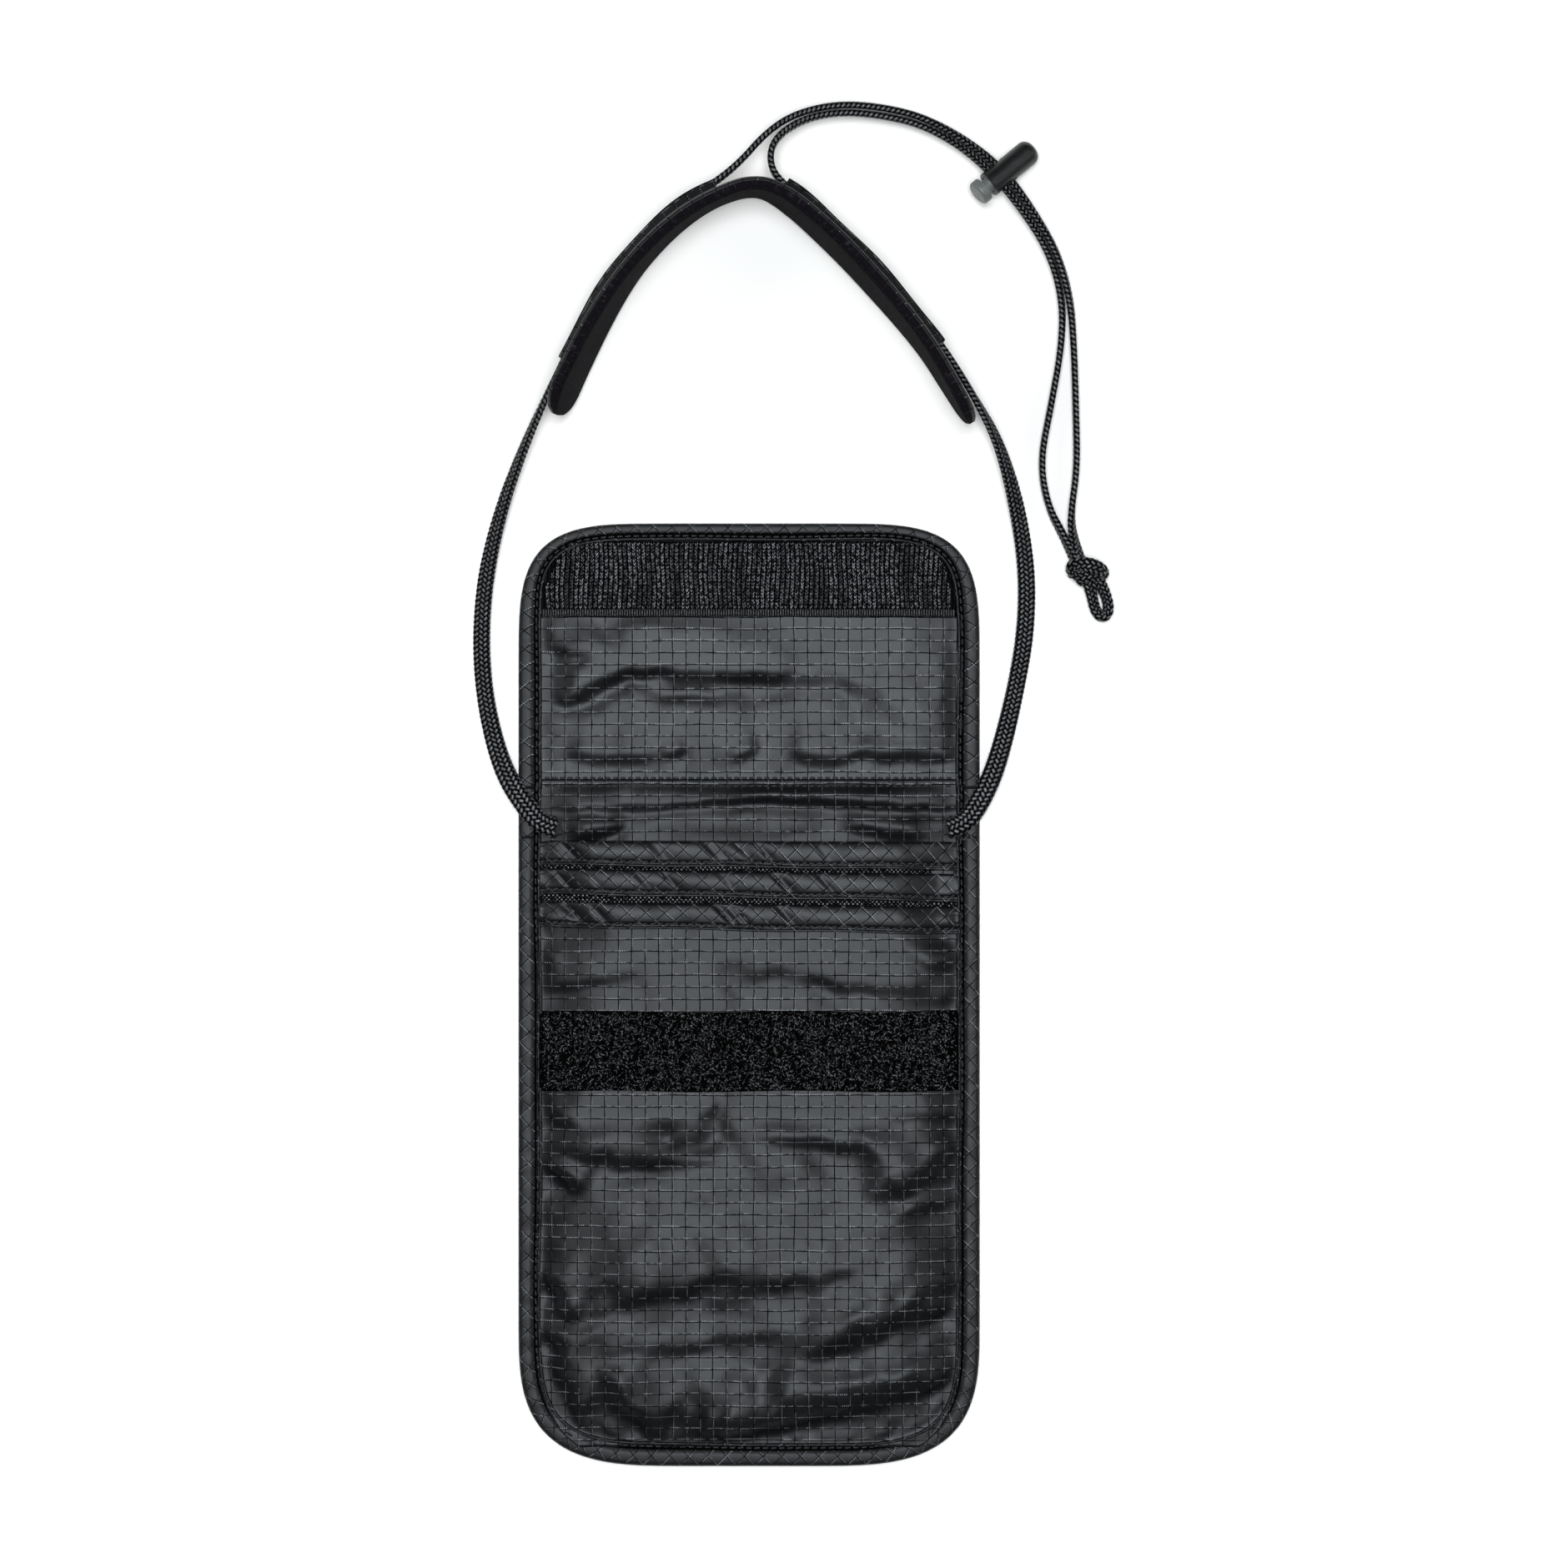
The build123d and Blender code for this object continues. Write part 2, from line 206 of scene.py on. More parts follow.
# ---- materials
class Shader:
    """A Principled material built up one node at a time."""

    def __init__(self, name, **numbers):
        self.material = bpy.data.materials.new(name)
        self.material.use_nodes = True
        self.tree = self.material.node_tree
        self.surface = self.tree.nodes["Principled BSDF"]
        for key, value in numbers.items():
            self.surface.inputs[key.replace("_", " ")].default_value = value

    def node(self, kind, inputs=(), **settings):
        made = self.tree.nodes.new(kind)
        for key, value in settings.items():
            setattr(made, key, value)
        for key, value in dict(inputs).items():
            self.feed(made.inputs[key], value)
        return made

    def feed(self, socket, value):
        if isinstance(value, bpy.types.NodeSocket):
            self.tree.links.new(value, socket)
        else:
            socket.default_value = value

    def math(self, operation, first, second=0.0, third=0.0):
        return self.node("ShaderNodeMath", {0: first, 1: second, 2: third}, operation=operation).outputs[0]

    def times(self, first, second):
        return self.math("MULTIPLY", first, second)

    def plus(self, first, second):
        return self.math("ADD", first, second)

    def wave(self, value, pitch):
        return self.math("SINE", self.times(value, 2 * math.pi / pitch))

    def ramp(self, value, low, high, to_low=0.0, to_high=1.0):
        inputs = {"Value": value, "From Min": low, "From Max": high, "To Min": to_low, "To Max": to_high}
        return self.node("ShaderNodeMapRange", inputs, interpolation_type="SMOOTHSTEP").outputs[0]

    def mix(self, factor, first, second):
        return self.node("ShaderNodeMix", {0: factor, 6: first, 7: second}, data_type="RGBA").outputs[2]

    def place(self, turn=0.0, stretch=(1.0, 1.0, 1.0)):
        """The place on the cloth in millimetres, turned in its own plane."""
        vector = self.node("ShaderNodeAttribute", attribute_name="lay").outputs["Vector"]
        inputs = {"Vector": vector, "Rotation": (0, 0, math.radians(turn)), "Scale": stretch}
        return self.node("ShaderNodeMapping", inputs).outputs[0]

    def noise(self, vector, scale, detail=2.0, roughness=0.5):
        inputs = {"Vector": vector, "Scale": scale, "Detail": detail, "Roughness": roughness}
        return self.node("ShaderNodeTexNoise", inputs).outputs[0]

    def split(self, vector):
        return tuple(self.node("ShaderNodeSeparateXYZ", {0: vector}).outputs)

    def set(self, name, value):
        self.feed(self.surface.inputs[name], value)

    def colour(self, factor, first, second):
        self.set("Base Color", self.mix(factor, first, second))

    def bump(self, height, depth):
        inputs = {"Height": height, "Distance": depth * MM, "Strength": 1.0}
        self.set("Normal", self.node("ShaderNodeBump", inputs).outputs[0])


def grey(level, blue=1.0):
    return (level, level * (1 + 0.04 * blue), level * (1 + 0.16 * blue), 1)


WEAVE = 0.62


def ripstop(name, cell, base, glint_level, roughness, gloss, turn=0.0, relief=1.0, line=0.85):
    """Plain-woven ripstop nylon: thick threads in a grid, set in a fine weave, with painted shade in its
    grooves and weave hollows and painted glints on its thick threads.
    """
    cloth = Shader(name)
    place = cloth.place(turn)
    across, along, _ = cloth.split(place)
    wander = cloth.noise(place, 0.05)
    across = cloth.plus(across, cloth.times(wander, 1.2))
    along = cloth.plus(along, cloth.times(wander, -1.2))

    def grid_line(value, other, pitch):
        """A groove, and the raised dots of the thick thread beside it; the colour below gets painted shade
        in the groove and painted glints on the dots.
        """
        phase = cloth.math("FRACT", cloth.math("DIVIDE", value, pitch))
        off = cloth.times(cloth.math("SUBTRACT", phase, 0.5), pitch)
        groove = cloth.ramp(cloth.math("ABSOLUTE", off), 0.2, 0.08)
        thick = cloth.ramp(cloth.math("ABSOLUTE", cloth.math("SUBTRACT", off, 0.27)), 0.22, 0.1)
        return groove, cloth.times(thick, cloth.ramp(cloth.wave(other, WEAVE), -0.5, 0.4))

    upright_groove, upright_dots = grid_line(across, along, cell[0])
    level_groove, level_dots = grid_line(along, across, cell[1])
    breaks = cloth.ramp(cloth.noise(place, 0.3), 0.34, 0.58, 0.45, 1.0)
    groove = cloth.times(cloth.math("MAXIMUM", upright_groove, level_groove), breaks)
    weave_height = cloth.times(cloth.wave(across, WEAVE), cloth.wave(along, WEAVE))
    # Painted glints: light flecks in short dashed runs on the thick threads' dots, standing in for
    # highlights.
    dashes = cloth.ramp(cloth.noise(place, 0.42), 0.42, 0.56)
    painted_glint = cloth.times(dashes, cloth.ramp(cloth.noise(place, 0.09, 3.0), 0.34, 0.6, 0.25, 1.0))
    upright_painted_glint = cloth.times(cloth.times(upright_dots, painted_glint), 0.5)
    painted_glints = cloth.math("MAXIMUM", cloth.times(level_dots, painted_glint), upright_painted_glint)
    mottle = cloth.ramp(cloth.noise(place, 0.06, 4.0), 0.3, 0.7)
    shade = cloth.mix(mottle, grey(base * 0.75), grey(base * 1.3, 1.5))
    # Painted shade: darker where the fine weave dips, and darker still in the grooves.
    shade = cloth.mix(cloth.math("MULTIPLY_ADD", weave_height, 0.2, 0.6), grey(base * 0.35), shade)
    shade = cloth.mix(cloth.times(groove, line), shade, grey(base * 0.2))
    cloth.colour(painted_glints, shade, grey(glint_level, 0.4))
    cloth.set("Roughness", cloth.ramp(groove, 0, 1, roughness, 0.85))
    cloth.set("Specular IOR Level", cloth.ramp(groove, 0, 1, gloss, gloss * (1 - line)))
    cloth.bump(cloth.math("MULTIPLY_ADD", groove, -1.0, cloth.times(weave_height, 0.3)), 0.035 * relief)
    return cloth.material


def mesh_cloth(name):
    """Open mesh lining: holes painted near black as the shade seen through them, and fine threads with
    painted glints.
    """
    cloth = Shader(name, Roughness=0.5, Specular_IOR_Level=0.06)
    across, along, _ = cloth.split(cloth.place())
    dots = cloth.times(cloth.wave(across, 1.3), cloth.wave(along, 1.3))
    speckle = cloth.ramp(cloth.noise(cloth.place(), 1.1), 0.42, 0.56)
    # Painted glints on the thread crossings, over near-black painted shade in the holes.
    cloth.colour(cloth.times(cloth.ramp(dots, 0.2, 0.6), speckle), grey(0.001), grey(0.22, 0.3))
    cloth.bump(dots, 0.15)
    return cloth.material


def pile(name, base, tip, scale, depth, gloss=0.04, tint=(1.0, 1.0, 1.0)):
    """Brushed or looped pile, with fibre tips painted lighter as highlights where they would catch the
    light.
    """
    cloth = Shader(name, Roughness=0.9, Specular_IOR_Level=gloss)
    place = cloth.place()
    coarse = cloth.noise(place, scale, 3.0, 0.65)
    fine = cloth.noise(place, scale * 3.1, 2.0, 0.6)
    # Painted highlight: lighter fibre tips where the pile would catch the light.
    painted_tip_glints = cloth.times(cloth.ramp(coarse, 0.5, 0.66), cloth.ramp(fine, 0.48, 0.66))
    dark, light = [(*(level * share for share in tint), 1) for level in (base, tip)]
    cloth.colour(painted_tip_glints, dark, light)
    cloth.bump(cloth.plus(coarse, cloth.times(fine, 0.5)), depth)
    return cloth.material


def thread(name, level, roughness):
    """Spun thread with its twist as fine slanting grooves."""
    yarn = Shader(name, Roughness=roughness)
    twist = yarn.wave(yarn.split(yarn.place(35))[1], 0.45)
    yarn.colour(yarn.noise(yarn.place(), 0.8), grey(level * 0.6, 0.3), grey(level * 1.6, 0.3))
    yarn.bump(twist, 0.05)
    return yarn.material


def moulded(name, level, roughness, green=1.0):
    """Moulded plastic with a fine spark-eroded grain and faint scuffs."""
    plastic = Shader(name, Roughness=roughness)
    where = plastic.node("ShaderNodeTexCoord").outputs["Object"]
    scuffs = plastic.ramp(plastic.noise(where, 420.0, 4.0, 0.7), 0.5, 0.72)
    plain, worn = [(tone, tone * green, tone, 1) for tone in (level, level * 1.7 + 0.01)]
    plastic.colour(plastic.times(scuffs, 0.5), plain, worn)
    plastic.set("Roughness", plastic.ramp(scuffs, 0, 1, roughness, roughness + 0.14))
    plastic.bump(plastic.noise(where, 5200.0, 3.0, 0.6), 0.05)
    return plastic.material


def spring_wire(name):
    """Drawn steel with slight changes of tone along it."""
    wire = Shader(name, Metallic=1.0, Roughness=0.3)
    tone = wire.noise(wire.node("ShaderNodeTexCoord").outputs["Object"], 2400.0)
    wire.colour(tone, (0.42, 0.42, 0.43, 1), (0.66, 0.66, 0.67, 1))
    wire.bump(tone, 0.02)
    return wire.material


def braid_yarn(name):
    """Braided strand, with a painted highlight where it crosses over the others and painted shade where it
    dives under them.
    """
    yarn = Shader(name, Roughness=0.36)
    place = yarn.place()
    # The lay's third value is how far the strand rides over the others.
    over = yarn.ramp(yarn.split(place)[2], 0.35, 0.95)
    painted_glint = yarn.times(over, yarn.ramp(yarn.noise(place, 0.8), 0.3, 0.65, 0.35, 1.0))
    yarn.colour(painted_glint, grey(0.0008, 0.3), grey(0.1, 0.3))
    yarn.set("Specular IOR Level", yarn.ramp(over, 0, 1, 0.03, 0.5))
    return yarn.material


def column_yarn(name):
    """Hook yarn, near black with painted glints in spots, stronger in some of its knitted columns than in
    others.
    """
    yarn = Shader(name, Roughness=0.4, Specular_IOR_Level=0.3)
    stretched = yarn.place(stretch=(1.0, 0.08, 1.0))
    columns = yarn.ramp(yarn.noise(stretched, 0.45), 0.36, 0.6, 0.25, 1.0)
    spots = yarn.ramp(yarn.noise(yarn.place(), 0.9), 0.4, 0.6)
    # Painted glints: light spots on the hooks, standing in for highlights.
    yarn.colour(yarn.times(columns, spots), grey(0.008, 0.3), grey(0.27, 0.3))
    return yarn.material


def speckled_yarn(name, dark, light, roughness, gloss):
    """Monofilament with painted glints in short runs, and dark between them."""
    yarn = Shader(name, Roughness=roughness, Specular_IOR_Level=gloss)
    # Painted glints: light spots in short runs, standing in for the shine of the monofilament.
    spots = yarn.ramp(yarn.noise(yarn.place(), 1.6), 0.47, 0.6)
    yarn.colour(spots, grey(dark, 0.3), grey(light, 0.3))
    return yarn.material


def ribbed_ground(name):
    """Ribbed ground weave of the hook tape, painted darker as shade in the troughs of its ribs, with a
    random tone.
    """
    cloth = Shader(name, Roughness=0.6, Specular_IOR_Level=0.04)
    ribs = cloth.wave(cloth.split(cloth.place())[0], 1.15)
    tone = cloth.ramp(cloth.noise(cloth.place(), 0.9), 0.3, 0.6)
    # Painted shade: darker in the troughs between the ribs.
    cloth.colour(cloth.times(cloth.ramp(ribs, -0.2, 0.8), tone), grey(0.0008), grey(0.006))
    cloth.bump(ribs, 0.25)
    return cloth.material


def painted_shade_cloth(name):
    """Near-black cloth that paints the shade inside a cord's mouth."""
    cloth = Shader(name, Roughness=0.9)
    cloth.colour(cloth.noise(cloth.place(), 1.2), grey(0.0015), grey(0.004))
    return cloth.material


STRAIGHT = (4.1, 3.62)
BIASED = {"cell": (4.0, 4.0), "turn": 45, "relief": 0.8, "line": 0.55}
SHELL = ripstop("shell_ripstop", STRAIGHT, base=0.0045, glint_level=0.22, roughness=0.46, gloss=0.31)
LINING = ripstop("lining_ripstop", STRAIGHT, base=0.005, glint_level=0.26, roughness=0.46, gloss=0.37)
BIAS = ripstop("bias_tape", base=0.004, glint_level=0.22, roughness=0.5, gloss=0.3, **BIASED)
TAPE = ripstop("edge_tape", base=0.003, glint_level=0.24, roughness=0.46, gloss=0.33, **BIASED)
MESH = mesh_cloth("mesh_lining")
SEAM_SHADE = pile("seam_shadow_cloth", 0.0008, 0.004, 1.4, depth=0.1, gloss=0.02)
LOOP_PILE = pile("loop_pile", 0.0006, 0.008, 0.9, depth=0.5, gloss=0.02)
FLEECE = pile("fleece", 0.0045, 0.04, 1.1, depth=0.3, gloss=0.05, tint=(1.15, 0.95, 1.25))
FOAM = pile("foam_cells", 0.02, 0.05, 1.4, depth=0.1)
HOOK_YARN = column_yarn("hook_yarn")
HOOK_GROUND = ribbed_ground("hook_ground")
SELVEDGE = speckled_yarn("hook_selvedge", 0.03, 0.09, 0.5, 0.25)
LOOP_FIBRE = speckled_yarn("loop_fibre", 0.001, 0.2, 0.4, 0.12)
THREAD = thread("sewing_thread", 0.014, 0.4)
BRAID = braid_yarn("braid_yarn")
HOLE_SHADE = painted_shade_cloth("mouth_shade_cloth")
BARREL = moulded("barrel_plastic", 0.004, 0.34)
BUTTON = moulded("button_plastic", 0.12, 0.4, green=1.06)
STEEL = spring_wire("spring_steel")


# ---- outline of the pouch
OUTLINE_STEP = 1.4


def outline(start, centre, end, power):
    """The outline of one end of the pouch: up its left side, round and back down its right side."""
    turn = np.linspace(0, math.pi / 2, 26)
    corner = np.stack([np.cos(turn), np.sin(turn)], 1) ** (2 / power)
    corner = centre + corner * (half_width - centre[0], end - centre[1])
    half = np.concatenate([[(half_width, start)], corner, [(0, end)]])
    return even_steps(np.concatenate([half * (-1, 1), half[::-1][1:]]), OUTLINE_STEP)


BODY_EDGE = outline(rim_high[1] + 1.0, (20, -100), rim_low[1], power=3.2)
FLAP_EDGE = outline(flap_low[1] - 1.0, (25, 100), flap_high[1], power=3.8)


def outward(path):
    """Unit normals of an outline that goes round its left half first."""
    ahead = unit(np.gradient(path, axis=0))
    normal = np.stack([ahead[:, 1], -ahead[:, 0]], 1)
    quarter = len(path) // 4
    return normal * np.sign((normal[quarter] * (path[quarter] - path.mean(0))).sum())


def inset(path, distance):
    return path - outward(path) * np.asarray(distance)[..., None]


def half_width_at(edge, y):
    """Half the width of an outline at each height y."""
    right = edge[edge[:, 0] >= 0]
    order = np.argsort(right[:, 1])
    return np.interp(y, right[order, 1], right[order, 0])


def distance_to(edge, x, y):
    """Distance from each point to an outline."""
    points = np.stack([np.ravel(x), np.ravel(y)], 1)
    nearest = np.full(len(points), np.inf)
    for start in range(0, len(edge), 40):
        gaps = np.linalg.norm(points[:, None, :] - edge[None, start : start + 40, :], axis=2)
        nearest = np.minimum(nearest, gaps.min(1))
    return nearest.reshape(np.shape(x))


def lean_line(ends, share):
    """Height of a sloping line, given at its left and right ends, for a share from -1 to 1."""
    return (ends[0] + ends[1]) / 2 + (ends[1] - ends[0]) / 2 * share


def cloth_grid(edge, margin, low, top_line, step):
    """Points of a cloth from a height up to a sloping line, and out to an outline less a margin."""
    counts = int(2 * inner_half / step), int((max(top_line) - low) / step)
    side, share = np.meshgrid(np.linspace(-1, 1, counts[0]), np.linspace(0, 1, counts[1]))
    y = low + (lean_line(top_line, side) - low) * share
    return side * (half_width_at(edge, y) - margin), y


# ---- wrinkles
WAVES = 9


def ripples(x, y, seed, wave, height):
    """Gentle uneven undulation of slack cloth, as a sum of waves with random headings."""
    source = np.random.default_rng(seed)
    total = np.zeros(np.shape(x))
    for _ in range(WAVES):
        heading = source.uniform(0, 2 * math.pi)
        length = wave * source.uniform(0.6, 1.7)
        phase = source.uniform(0, 2 * math.pi)
        bend = 1.3 * np.sin(x / (wave * 1.7) + phase) + 1.1 * np.sin(y / (wave * 1.3) - phase)
        along = (x * math.cos(heading) + y * math.sin(heading)) * 2 * math.pi / length
        total += np.sin(along + bend + phase)
    return total * height / math.sqrt(WAVES)


def creases(x, y, folds):
    """Steps in the cloth along lines (x0, y0, x1, y1, half width, height)."""
    total = np.zeros(np.shape(x))
    stray = ripples(x, y, 91, 11, 0.9)
    for x0, y0, x1, y1, width, height in folds:
        length = math.hypot(x1 - x0, y1 - y0)
        ux, uy = (x1 - x0) / length, (y1 - y0) / length
        along = ((x - x0) * ux + (y - y0) * uy) / length
        side = (x - x0) * -uy + (y - y0) * ux
        side = side + min(0.04 * length, 0.9) * np.sin(3.1 * along + x0) + stray * width / 4.0
        fade = smoothstep((along + 0.15) / 0.4) * smoothstep((1.15 - along) / 0.4)
        ratio = side / (width * (0.55 + 0.6 * fade))
        rise = smoothstep((ratio + 1) / 2) * np.exp(-np.clip(ratio, 0, None) / 2.6)
        total += height * 1.5 * (rise - 0.38 * bell((ratio + 1.2) / 1.1)) * fade
    return total


def puckers(along, away, pitch, reach, height, seed):
    """Short gathers that stand square to a seam and die away from it."""
    phases = np.random.default_rng(seed).uniform(0, 2 * math.pi, 3)
    wave = np.sin(along * 2 * math.pi / pitch + phases[0] + 1.2 * np.sin(along / 11 + phases[1]))
    wave += 0.6 * np.sin(along * 2 * math.pi / (pitch * 1.63) + phases[2])
    return wave * height * np.exp(-np.abs(away) / reach)


# ---- shared shape of the body
BODY_BINDING_WIDE = 7.1
FOLD_BINDING_WIDE = 7.0
TOP_BINDING_WIDE = 5.2
BODY_INNER = inset(BODY_EDGE, BODY_BINDING_WIDE + 0.1)
TOP_CORNER = [flap_high[1] - 25, flap_high[1] - 2]
FLAP_WIDTHS = np.interp(FLAP_EDGE[:, 1], TOP_CORNER, [FOLD_BINDING_WIDE, TOP_BINDING_WIDE])
FLAP_INNER = inset(FLAP_EDGE, FLAP_WIDTHS)
PUFF_REACH = 26.0

# Each fold is a line from x, y to x, y, and then the fold's half width and height.
BODY_FOLDS = [
    (-64, -33, -50, -40, 2.6, 0.8), (-63, -50, -50, -59, 2.6, 1.5), (-26, -46, -10, -33, 3.6, 1.3),
    (-56, -46, -12, -51, 3.4, 1.1), (3, -42, 41, -49, 3.6, 1.0), (38, -60, 64, -47, 4.6, 1.9),
    (46, -66, 65, -62, 2.8, 1.2), (40, -34, 66, -38, 2.6, 0.8), (-52, -92, 30, -83, 7.5, 1.7),
    (-50, -106, 16, -103, 5.0, 1.2), (18, -109, 63, -88, 5.5, 2.1), (-64, -84, -52, -98, 3.4, 1.4),
    (-66, -98, -54, -112, 2.8, 1.2), (-60, -110, -52, -128, 2.6, 1.0), (-45, -115, -27, -134, 3.4, 1.6),
    (12, -112, 4, -133, 3.0, 0.9), (-9, -133, 62, -115, 4.6, 2.0), (-20, -124, -22, -138, 1.6, 0.6),
    (-13, -125, -14, -138, 1.5, 0.6), (-6, -124, -7, -138, 1.7, 0.6), (20, 6, 66, 0, 4.0, 1.0),
    (36, 16, 64, 8, 3.0, 0.8), (-64, 2, -36, 8, 3.2, 0.8), (-12, 12, 34, 6, 5.0, 0.8),
]


def body_shape(x, y):
    """0 at the binding and 1 in the middle, and the wrinkles that all layers share."""
    gap = distance_to(BODY_INNER, x, y)
    puff = 1 - (1 - np.clip(gap / PUFF_REACH, 0, 1)) ** 2.3
    wrinkles = ripples(x, y, 3, 38, 0.55) + ripples(x, y, 6, 15, 0.13) + ripples(x, y, 7, 7, 0.035)
    wrinkles *= smoothstep(gap / 7)
    wrinkles += 1.3 * creases(x, y, BODY_FOLDS) * smoothstep((gap + 1.0) / 5) * smoothstep((20 - y) / 12)
    side = puckers(y, gap, 9.5, 7.0, 0.42, 11) * smoothstep((y + 118) / 14)
    bottom = puckers(x, gap, 8.0, 7.0, 0.35, 12) * smoothstep((-104 - y) / 20)
    return puff, wrinkles + (side + bottom) * smoothstep(gap / 2.5)


LAYER_EDGE = {"rear": 0.95, "middle": 1.35, "front": 1.75}
LAYER_MIDDLE = {"rear": 4.3, "middle": 5.0, "front": 5.8}


def pressed(height, cap):
    """Cloth no higher than a cap, bar a little, where the closed flap lies against it."""
    over = np.clip(height - cap + 0.5, 0, None)
    return height - over + 0.5 * over / (0.5 + over)


def layer_height(name, x, y):
    puff, wrinkles = body_shape(x, y)
    height = LAYER_EDGE[name] + (LAYER_MIDDLE[name] - LAYER_EDGE[name]) * puff + wrinkles
    under_flap = smoothstep((y + 44) / 8)
    return height + (pressed(height, LAYER_MIDDLE[name] + 0.4) - height) * under_flap


CLOTH = 0.35
PANEL_MARGIN = 5.5
PANEL_BOTTOM = BODY_INNER[:, 1].min() - 1.2
# The upper and the lower edge of each pocket's tape at its left and right ends, and a seed.
MOUTHS = {
    "rear": ((46.6, 46.2), (39.4, 37.8), 21),
    "middle": ((38.2, 36.4), (30.6, 28.2), 22),
    "front": ((28.2, 26.6), (20.6, 18.4), 23),
}


def make_panel(name, material, step):
    upper, lower, _ = MOUTHS[name]
    top_line = upper[0] - 0.7, upper[1] - 0.7
    x, y = cloth_grid(BODY_EDGE, PANEL_MARGIN, PANEL_BOTTOM, top_line, step)
    z = layer_height(name, x, y)
    if name != "front":
        z -= 0.75 * smoothstep((y - lower[1] + 9.5) / 3.0) * smoothstep((lower[1] + 1.0 - y) / 1.5)
    piece = cloth_between(f"panel_{name}", x, y, z, z - CLOTH, material)
    return belongs(piece, "pocket_cloth", "pouch", f"pocket_panel_{name}")


def make_back():
    x, y = cloth_grid(BODY_EDGE, PANEL_MARGIN, PANEL_BOTTOM, (rim_high[1] + 1, rim_high[1] + 1), 3.0)
    gap = distance_to(BODY_INNER, x, y)
    top = 0.45 + 0.25 * smoothstep(gap / 6) + ripples(x, y, 5, 26, 0.05) + CLOTH
    bottom = 0.08 + 0.12 * (1 - smoothstep(gap / 5))
    piece = cloth_between("back_cloth", x, y, top, bottom, SHELL)
    return belongs(piece, "shell_cloth", "pouch", "back_panel")


TAPE_STITCH_UP = 1.55
TAPE_SAMPLES = 190


def tape_surface(name, x, share):
    """Face of a pocket's edge tape: share 0 at its sewn edge and 1 at the mouth."""
    upper, lower, seed = MOUTHS[name]
    side = x / inner_half
    y = lean_line(lower, side) + (lean_line(upper, side) - lean_line(lower, side)) * share
    y = y + 0.18 * np.sin(x / 7.3 + seed) * (1 - share)
    slant = x + 7.0 * share
    source = np.random.default_rng(seed)
    drag = np.zeros(np.shape(x))
    for place in np.sort(source.uniform(-inner_half * 0.96, inner_half * 0.45, 8)):
        off = (slant - place) / source.uniform(1.6, 4.4)
        pull = smoothstep((off + 0.6) / 0.8) * np.exp(-np.clip(off, 0, None) / 0.9)
        drag += source.uniform(0.4, 1.2) * pull
    crown = np.sin(np.pi * np.clip((share - 0.14) / 0.86, 0, 1)) ** 0.55
    z = layer_height(name, x, y) + 0.45 + crown * (1 - np.minimum(drag, 1.3))
    return y, z + 0.42 * (bell((share - 0.05) / 0.05) - bell((share - 0.19) / 0.05))


def make_tape(name):
    """Bias tape folded over the mouth of a pocket."""
    x = np.linspace(-inner_half - 0.8, inner_half + 0.8, TAPE_SAMPLES)
    x_grid, share = np.meshgrid(x, [0.0, 0.02, *np.linspace(0.05, 0.98, 24), 1.0])
    y, z = tape_surface(name, x_grid, share)
    z[0] -= 0.6
    behind = [(0.25, 0.35), (0.25, 0.8), (-0.4, 1.15), (-2.5, 1.2), (-5.5, 1.2)]
    back = [np.stack([x, y[-1] + out, z[-1] - down], 1) for out, down in behind]
    face = np.concatenate([np.stack([x_grid, y, z], 2), back])
    ahead = np.gradient(face, axis=0)
    side = np.stack([np.zeros(ahead.shape[:2]), -ahead[..., 2], ahead[..., 1]], 2)
    lay = spread(reach_along(face[:, TAPE_SAMPLES // 2]), x)[..., ::-1]
    piece = closed_shell(f"tape_{name}", face, face - unit(side) * 0.3, lay, TAPE)
    return belongs(piece, "binding_tape", "pouch", f"pocket_binding_{name}")


# ---- stitches
STITCH_RINGS = [(-0.5, 0.35), (-0.36, 0.85), (0.0, 1.0), (0.36, 0.85), (0.5, 0.35)]
STITCH_SIDES = 6
FINE = {"pitch": 2.3, "length": 1.7}  # the stitches of the pocket tapes and of the flap's seam


def add_stitches(name, path, body, normals=UP, pitch=2.5, length=1.95, radius=0.34, material=THREAD):
    """A run of short stitches lying along a path, as one mesh of small capsules."""
    reach = reach_along(path)
    normals = np.broadcast_to(normals, path.shape)

    def read(table, place):
        return np.array([np.interp(place, reach, column) for column in table.T])

    points, faces, lay = [], [], []
    for place in np.arange(pitch / 2, reach[-1] - pitch / 2, pitch):
        centre = read(path, place)
        ahead = unit(read(path, place + 0.5) - centre)
        up = read(normals, place)
        up = unit(up - ahead * (up @ ahead))
        side = np.cross(ahead, up)
        faces += tube_faces(len(STITCH_RINGS), STITCH_SIDES, len(points), flip=True)
        for offset, size in STITCH_RINGS:
            for angle in np.arange(STITCH_SIDES) * 2 * math.pi / STITCH_SIDES:
                around = side * math.cos(angle) * 1.1 + up * (math.sin(angle) * 0.9)
                sunk = up * radius * 0.5 * (1 - size)
                points.append(centre + ahead * offset * length + around * radius * size - sunk)
                lay.append((angle * radius, offset * length + place))
    return belongs(add_mesh(name, np.array(points), faces, material, np.array(lay)), "thread", body)


# ---- outer binding
def binding_profile(width):
    """Section of the edge binding, top side first: distance in from the edge, share of its thickness."""
    return np.array([
        (width, 0.6), (width - 0.1, 1.0), (width - 0.5, 1.18), (width - 0.95, 1.0), (width - 1.1, 0.66),
        (width - 1.95, 0.66), (width - 2.3, 0.94), (width * 0.45, 1.03), (width * 0.2, 1.0),
        (width * 0.11, 0.94), (width * 0.05, 0.82), (0.0, 0.5), (0.14, 0.2), (0.55, 0.06), (1.3, 0.015),
        (width * 0.5, 0.0), (width - 0.3, 0.0), (width, 0.06), (width - 0.05, 0.3),
    ])


